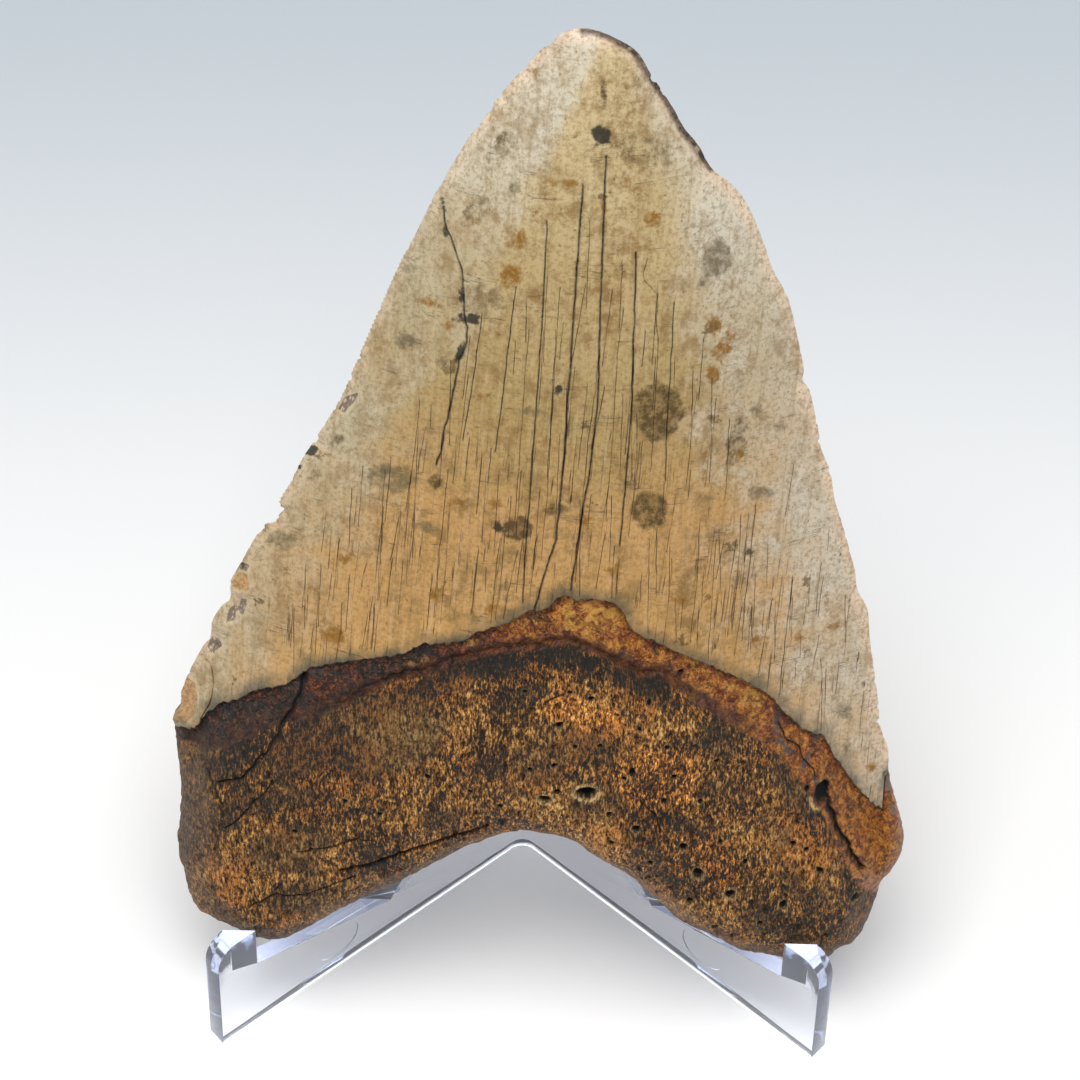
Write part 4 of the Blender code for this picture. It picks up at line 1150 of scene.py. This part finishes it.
    holes = p.soft(p.cells(fibrePlace, 0.95), 0.22, 0.12)
    root = p.mix(p.times(holes, 0.85), root, look["holeDark"])
    root = p.mix(p.times(p.value("pore"), 0.60), root, look["poreDark"])
    root = p.mix(p.times(rimBand, 0.50), root, look["rimFactor"], "MULTIPLY")
    root = p.mix(p.times(p.value("pale"), p.soft(sponge, 0.40, 0.56, 0.25, 0.9)), root, look["rootPale"])

    # The three regions meet at the enamel's edge and at the rim
    onEnamel = {"enamel": 1.0, "edge": None, "root": 0.0}[region]
    if onEnamel is None:
        onEnamel = p.soft(enamelMm, -0.03, 0.03)
    onRoot = p.soft(p.add(rimMm, p.offHalf(mottle, 0.8)), 0.15, -0.35)
    colour = p.mix(onRoot, bourlette, root)
    colour = p.mix(onEnamel, colour, enamelColour)
    chipTone = p.mix(p.soft(mottled, 0.42, 0.60), look["broken"], look["brokenDark"])
    colour = p.mix(p.times(p.value("broken"), p.soft(fine, 0.30, 0.50, 0.6, 1.0)), colour, chipTone)
    crackFade = p.soft(p.grain(p.scaled(place, (1.0, 0.5, 1.0)), 0.7, 4.0, 0.7), 0.38, 0.52, 0.80, 1.0)
    crackFade = p.most(crackFade, p.soft(enamelMm, 0.0, -0.1))
    colour = p.mix(p.times(p.value("crack"), crackFade), colour, look["crackDark"])
    p.put(p.shader.inputs["Base Color"], colour)

    enamelGloss = p.soft(cloud, 0.3, 0.7, *toothGloss["enamel"])
    otherGloss = p.blendValue(onRoot, toothGloss["bourlette"], toothGloss["root"])
    roughness = p.blendValue(onEnamel, otherGloss, enamelGloss)
    p.put(p.shader.inputs["Roughness"], p.blendValue(p.value("crack"), roughness, toothGloss["crack"]))

    rootGrain = p.less(p.add(p.times(fibre, 0.6), p.times(sponge, 0.4)), p.times(holes, 0.35))
    rootGrain = p.blendValue(p.times(low, 0.6), rootGrain, p.times(mottle, 0.5))
    enamelGrain = p.less(p.times(fine, 0.10), p.times(p.add(hair, p.value("hair")), 0.07))
    bourletteGrain = p.less(mottle, p.times(veins, 0.3))
    relief = p.blendValue(onEnamel, p.blendValue(onRoot, bourletteGrain, rootGrain), enamelGrain)
    p.put(p.shader.inputs["Normal"], p.bump(relief, toothRelief["height"], toothRelief["strength"]))
    return p.material


tooth = buildTooth()
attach(tooth, "root")
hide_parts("tooth")
say("tooth painted")


# The easel: the solid's shape with eased edges and the moulding's round marks

standLook = {
    "tint": (0.96, 0.97, 1.0), "edgeShadeTint": (0.42, 0.52, 0.80), "clear": 0.95, "ior": 1.49,
    "inside": (0.60, 0.68, 0.92), "density": 26.0, "glossiest": 0.02, "dullest": 0.07,
    "edgeRound": 0.5, "footAcross": 43.2, "apexBehind": 37.1,
    "markRadius": 4.0, "markDepth": 0.12, "markFromFront": 21.4, "markHeight": 7.0,
}
standMiddle = (standLow.x + standHigh.x) / 2
plateAngle = math.atan2(standLook["footAcross"], standLook["apexBehind"])  # a plate's turn from straight back


# A shallow disc where a mould pin left its mark on the inner face of one plate
def markCutter(side):
    foot = Vector((standMiddle + side * standLook["footAcross"] * mm, standLow.y, 0.0))
    along = Vector((-side * math.sin(plateAngle), math.cos(plateAngle), 0.0))
    outward = Vector((side * math.cos(plateAngle), math.sin(plateAngle), 0.0))
    centre = foot + along * standLook["markFromFront"] * mm + Vector((0, 0, standLook["markHeight"] * mm))
    turn = Vector((0, 0, 1)).rotation_difference(outward).to_matrix().to_4x4()
    radius = standLook["markRadius"] * mm
    disc = bmesh.new()
    bmesh.ops.create_cone(disc, cap_ends=True, segments=48, radius1=radius, radius2=radius * 0.96,
                          depth=2 * standLook["markDepth"] * mm, matrix=Matrix.Translation(centre) @ turn)
    data = bpy.data.meshes.new("mouldMark")
    disc.to_mesh(data)
    disc.free()
    cutter = bpy.data.objects.new("mouldMark", data)
    bpy.context.scene.collection.objects.link(cutter)
    return cutter


def buildStand():
    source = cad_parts["stand"]
    mesh = bmesh.new()
    mesh.from_mesh(source.data)
    bmesh.ops.remove_doubles(mesh, verts=mesh.verts, dist=1e-6)
    bmesh.ops.dissolve_limit(mesh, angle_limit=math.radians(1.0), verts=mesh.verts, edges=mesh.edges)
    data = bpy.data.meshes.new("clearEasel")
    mesh.to_mesh(data)
    mesh.free()
    piece = bpy.data.objects.new("clearEasel", data)
    bpy.context.scene.collection.objects.link(piece)

    cutters = [markCutter(side) for side in (-1, 1)]
    for cutter in cutters:
        cut = piece.modifiers.new("mark", "BOOLEAN")
        cut.operation, cut.solver, cut.object = "DIFFERENCE", "EXACT", cutter
    bevel = piece.modifiers.new("ease", "BEVEL")
    bevel.width = standLook["edgeRound"] * mm
    bevel.segments = 3
    bevel.limit_method = "ANGLE"
    bevel.angle_limit = math.radians(40.0)
    bevel.use_clamp_overlap = True
    graph = bpy.context.evaluated_depsgraph_get()
    finished = bpy.data.meshes.new_from_object(piece.evaluated_get(graph))
    piece.modifiers.clear()
    piece.data = finished
    for cutter in cutters:
        bpy.data.objects.remove(cutter)
    finished.materials.clear()
    finished.shade_smooth()
    finished.set_sharp_from_angle(angle=math.radians(35.0))
    return piece


def paintStand():
    p = Paint("clearPlastic")
    p.shader.inputs["Transmission Weight"].default_value = standLook["clear"]
    p.shader.inputs["IOR"].default_value = standLook["ior"]
    inside = p.node("ShaderNodeVolumeAbsorption", {"Color": standLook["inside"], "Density": standLook["density"]})
    p.tree.links.new(inside.outputs["Volume"], p.tree.nodes["Material Output"].inputs["Volume"])
    coordinates = p.node("ShaderNodeTexCoord").outputs
    place = coordinates["Object"]

    # Painted shade: the narrow faces are tinted blue-grey, standing in for light that runs a long way inside the
    # plates behind them
    facing = p.node("ShaderNodeSeparateXYZ", {"Vector": coordinates["Normal"]}).outputs
    across = p.node("ShaderNodeSeparateXYZ", {"Vector": place}).outputs[0]
    side = p.math("SIGN", p.add(across, -standMiddle))
    flat = p.add(p.times(p.times(facing[0], side), math.cos(plateAngle)), p.times(facing[1], math.sin(plateAngle)))
    narrow = p.times(p.soft(p.math("ABSOLUTE", flat), 0.85, 0.35), p.soft(facing[2], 0.60, 0.10))
    p.put(p.shader.inputs["Base Color"], p.mix(narrow, standLook["tint"], standLook["edgeShadeTint"]))
    haze = p.grain(place, 160.0, 3.0, 0.6)
    gloss = p.soft(haze, 0.45, 0.75, standLook["glossiest"], standLook["dullest"])
    p.put(p.shader.inputs["Roughness"], gloss)
    p.put(p.shader.inputs["Normal"], p.bump(p.grain(place, 60.0, 2.0, 0.5), 0.00002, 0.4))
    return p.material


stand = buildStand()
stand.data.materials.append(paintStand())
stand.visible_shadow = False
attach(stand, "root")
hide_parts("stand")
say(f"easel has {len(stand.data.polygons)} faces")


# Table, lights and camera

# The floor is near white in front and fades to a painted grey-blue shade towards the back, standing in for light
# that falls off there
stageLook = {
    "near": srgb(253, 253, 253), "far": srgb(192, 201, 209), "shadeFadeEnd": 0.20, "roughness": 0.6,
    "halfSize": 1.6, "floorHeight": -0.02,  # just under the easel's feet, in mm
    "sky": (0.93, 0.96, 1.0), "worldStrength": 0.33, "throughPlastic": 0.95,
}
# Lamps as (name, place, size, watts, colour, what it points at)
lamps = (
    ("overhead", (-0.05, -0.15, 1.0), (0.66, 0.48), 6.9, (1.0, 0.985, 0.965), (0.0, 0.0, 0.06)),
    ("left", (-0.8, -0.25, 0.55), (0.5, 0.7), 1.2, (0.97, 0.985, 1.0), (0.0, 0.0, 0.06)),
    ("right", (0.8, -0.15, 0.5), (0.5, 0.7), 0.9, (1.0, 0.99, 0.97), (0.0, 0.0, 0.06)),
    ("front", (0.0, -0.9, 0.35), (0.8, 0.4), 0.3, (1.0, 1.0, 1.0), (0.0, 0.0, 0.06)),
    ("behind", (0.15, 0.75, 0.4), (0.8, 0.4), 1.1, (1.0, 1.0, 1.0), (0.0, 0.0, 0.0)),
)


def buildFloor():
    size, top = stageLook["halfSize"], stageLook["floorHeight"] * mm
    corners = [(-size, -size, top), (size, -size, top), (size, size, top), (-size, size, top)]
    data = bpy.data.meshes.new("table")
    data.from_pydata(corners, [], [(0, 1, 2, 3)])
    floor = bpy.data.objects.new("table", data)
    bpy.context.scene.collection.objects.link(floor)
    p = Paint("tablePaint")
    place = p.node("ShaderNodeTexCoord").outputs["Object"]
    split = p.node("ShaderNodeSeparateXYZ", {"Vector": place})
    # Painted shade: the floor darkens to grey-blue with distance towards the back
    far = p.soft(split.outputs[1], 0.0, stageLook["shadeFadeEnd"])
    p.put(p.shader.inputs["Base Color"], p.mix(far, stageLook["near"], stageLook["far"]))
    p.put(p.shader.inputs["Roughness"], stageLook["roughness"])
    data.materials.append(p.material)
    return floor


def areaLight(name, place, size, power, colour, aim):
    light = bpy.data.lights.new(name, "AREA")
    light.shape = "RECTANGLE"
    light.size, light.size_y = size
    light.energy = power
    light.color = colour
    made = bpy.data.objects.new(name, light)
    made.location = place
    made.rotation_euler = (Vector(aim) - Vector(place)).to_track_quat("-Z", "Y").to_euler()
    bpy.context.scene.collection.objects.link(made)


def buildCamera():
    rise, roll = view["rise"], view["roll"]
    right, up = Vector((1, 0, 0)), Vector((0, math.sin(rise), math.cos(rise)))
    back = Vector((0, -math.cos(rise), math.sin(rise)))
    turnedRight = math.cos(roll) * right + math.sin(roll) * up
    turnedUp = math.cos(roll) * up - math.sin(roll) * right
    camera = bpy.data.cameras.new("camera")
    camera.sensor_width = view["filmWidth"]
    camera.lens = view["filmWidth"] * view["distance"] / (view["pixelMm"] * view["pixels"])
    camera.clip_start, camera.clip_end = 0.05, 20.0
    made = bpy.data.objects.new("camera", camera)
    turn = Matrix((turnedRight, turnedUp, back)).transposed().to_4x4()
    made.matrix_world = Matrix.Translation(toothOrigin + back * view["distance"] * mm) @ turn
    bpy.context.scene.collection.objects.link(made)
    bpy.context.scene.camera = made


def buildWorld():
    world = bpy.data.worlds.new("studio")
    world.use_nodes = True
    shade = world.node_tree.nodes["Background"]
    shade.inputs["Color"].default_value = (*stageLook["sky"], 1.0)
    path = world.node_tree.nodes.new("ShaderNodeLightPath")
    choice = world.node_tree.nodes.new("ShaderNodeMapRange")
    choice.inputs["To Min"].default_value = stageLook["worldStrength"]
    choice.inputs["To Max"].default_value = stageLook["throughPlastic"]
    world.node_tree.links.new(path.outputs["Is Transmission Ray"], choice.inputs["Value"])
    world.node_tree.links.new(choice.outputs["Result"], shade.inputs["Strength"])
    bpy.context.scene.world = world


buildFloor()
for lamp in lamps:
    areaLight(*lamp)
buildWorld()
buildCamera()
bpy.context.scene.view_settings.view_transform = "Standard"
say("stage set")
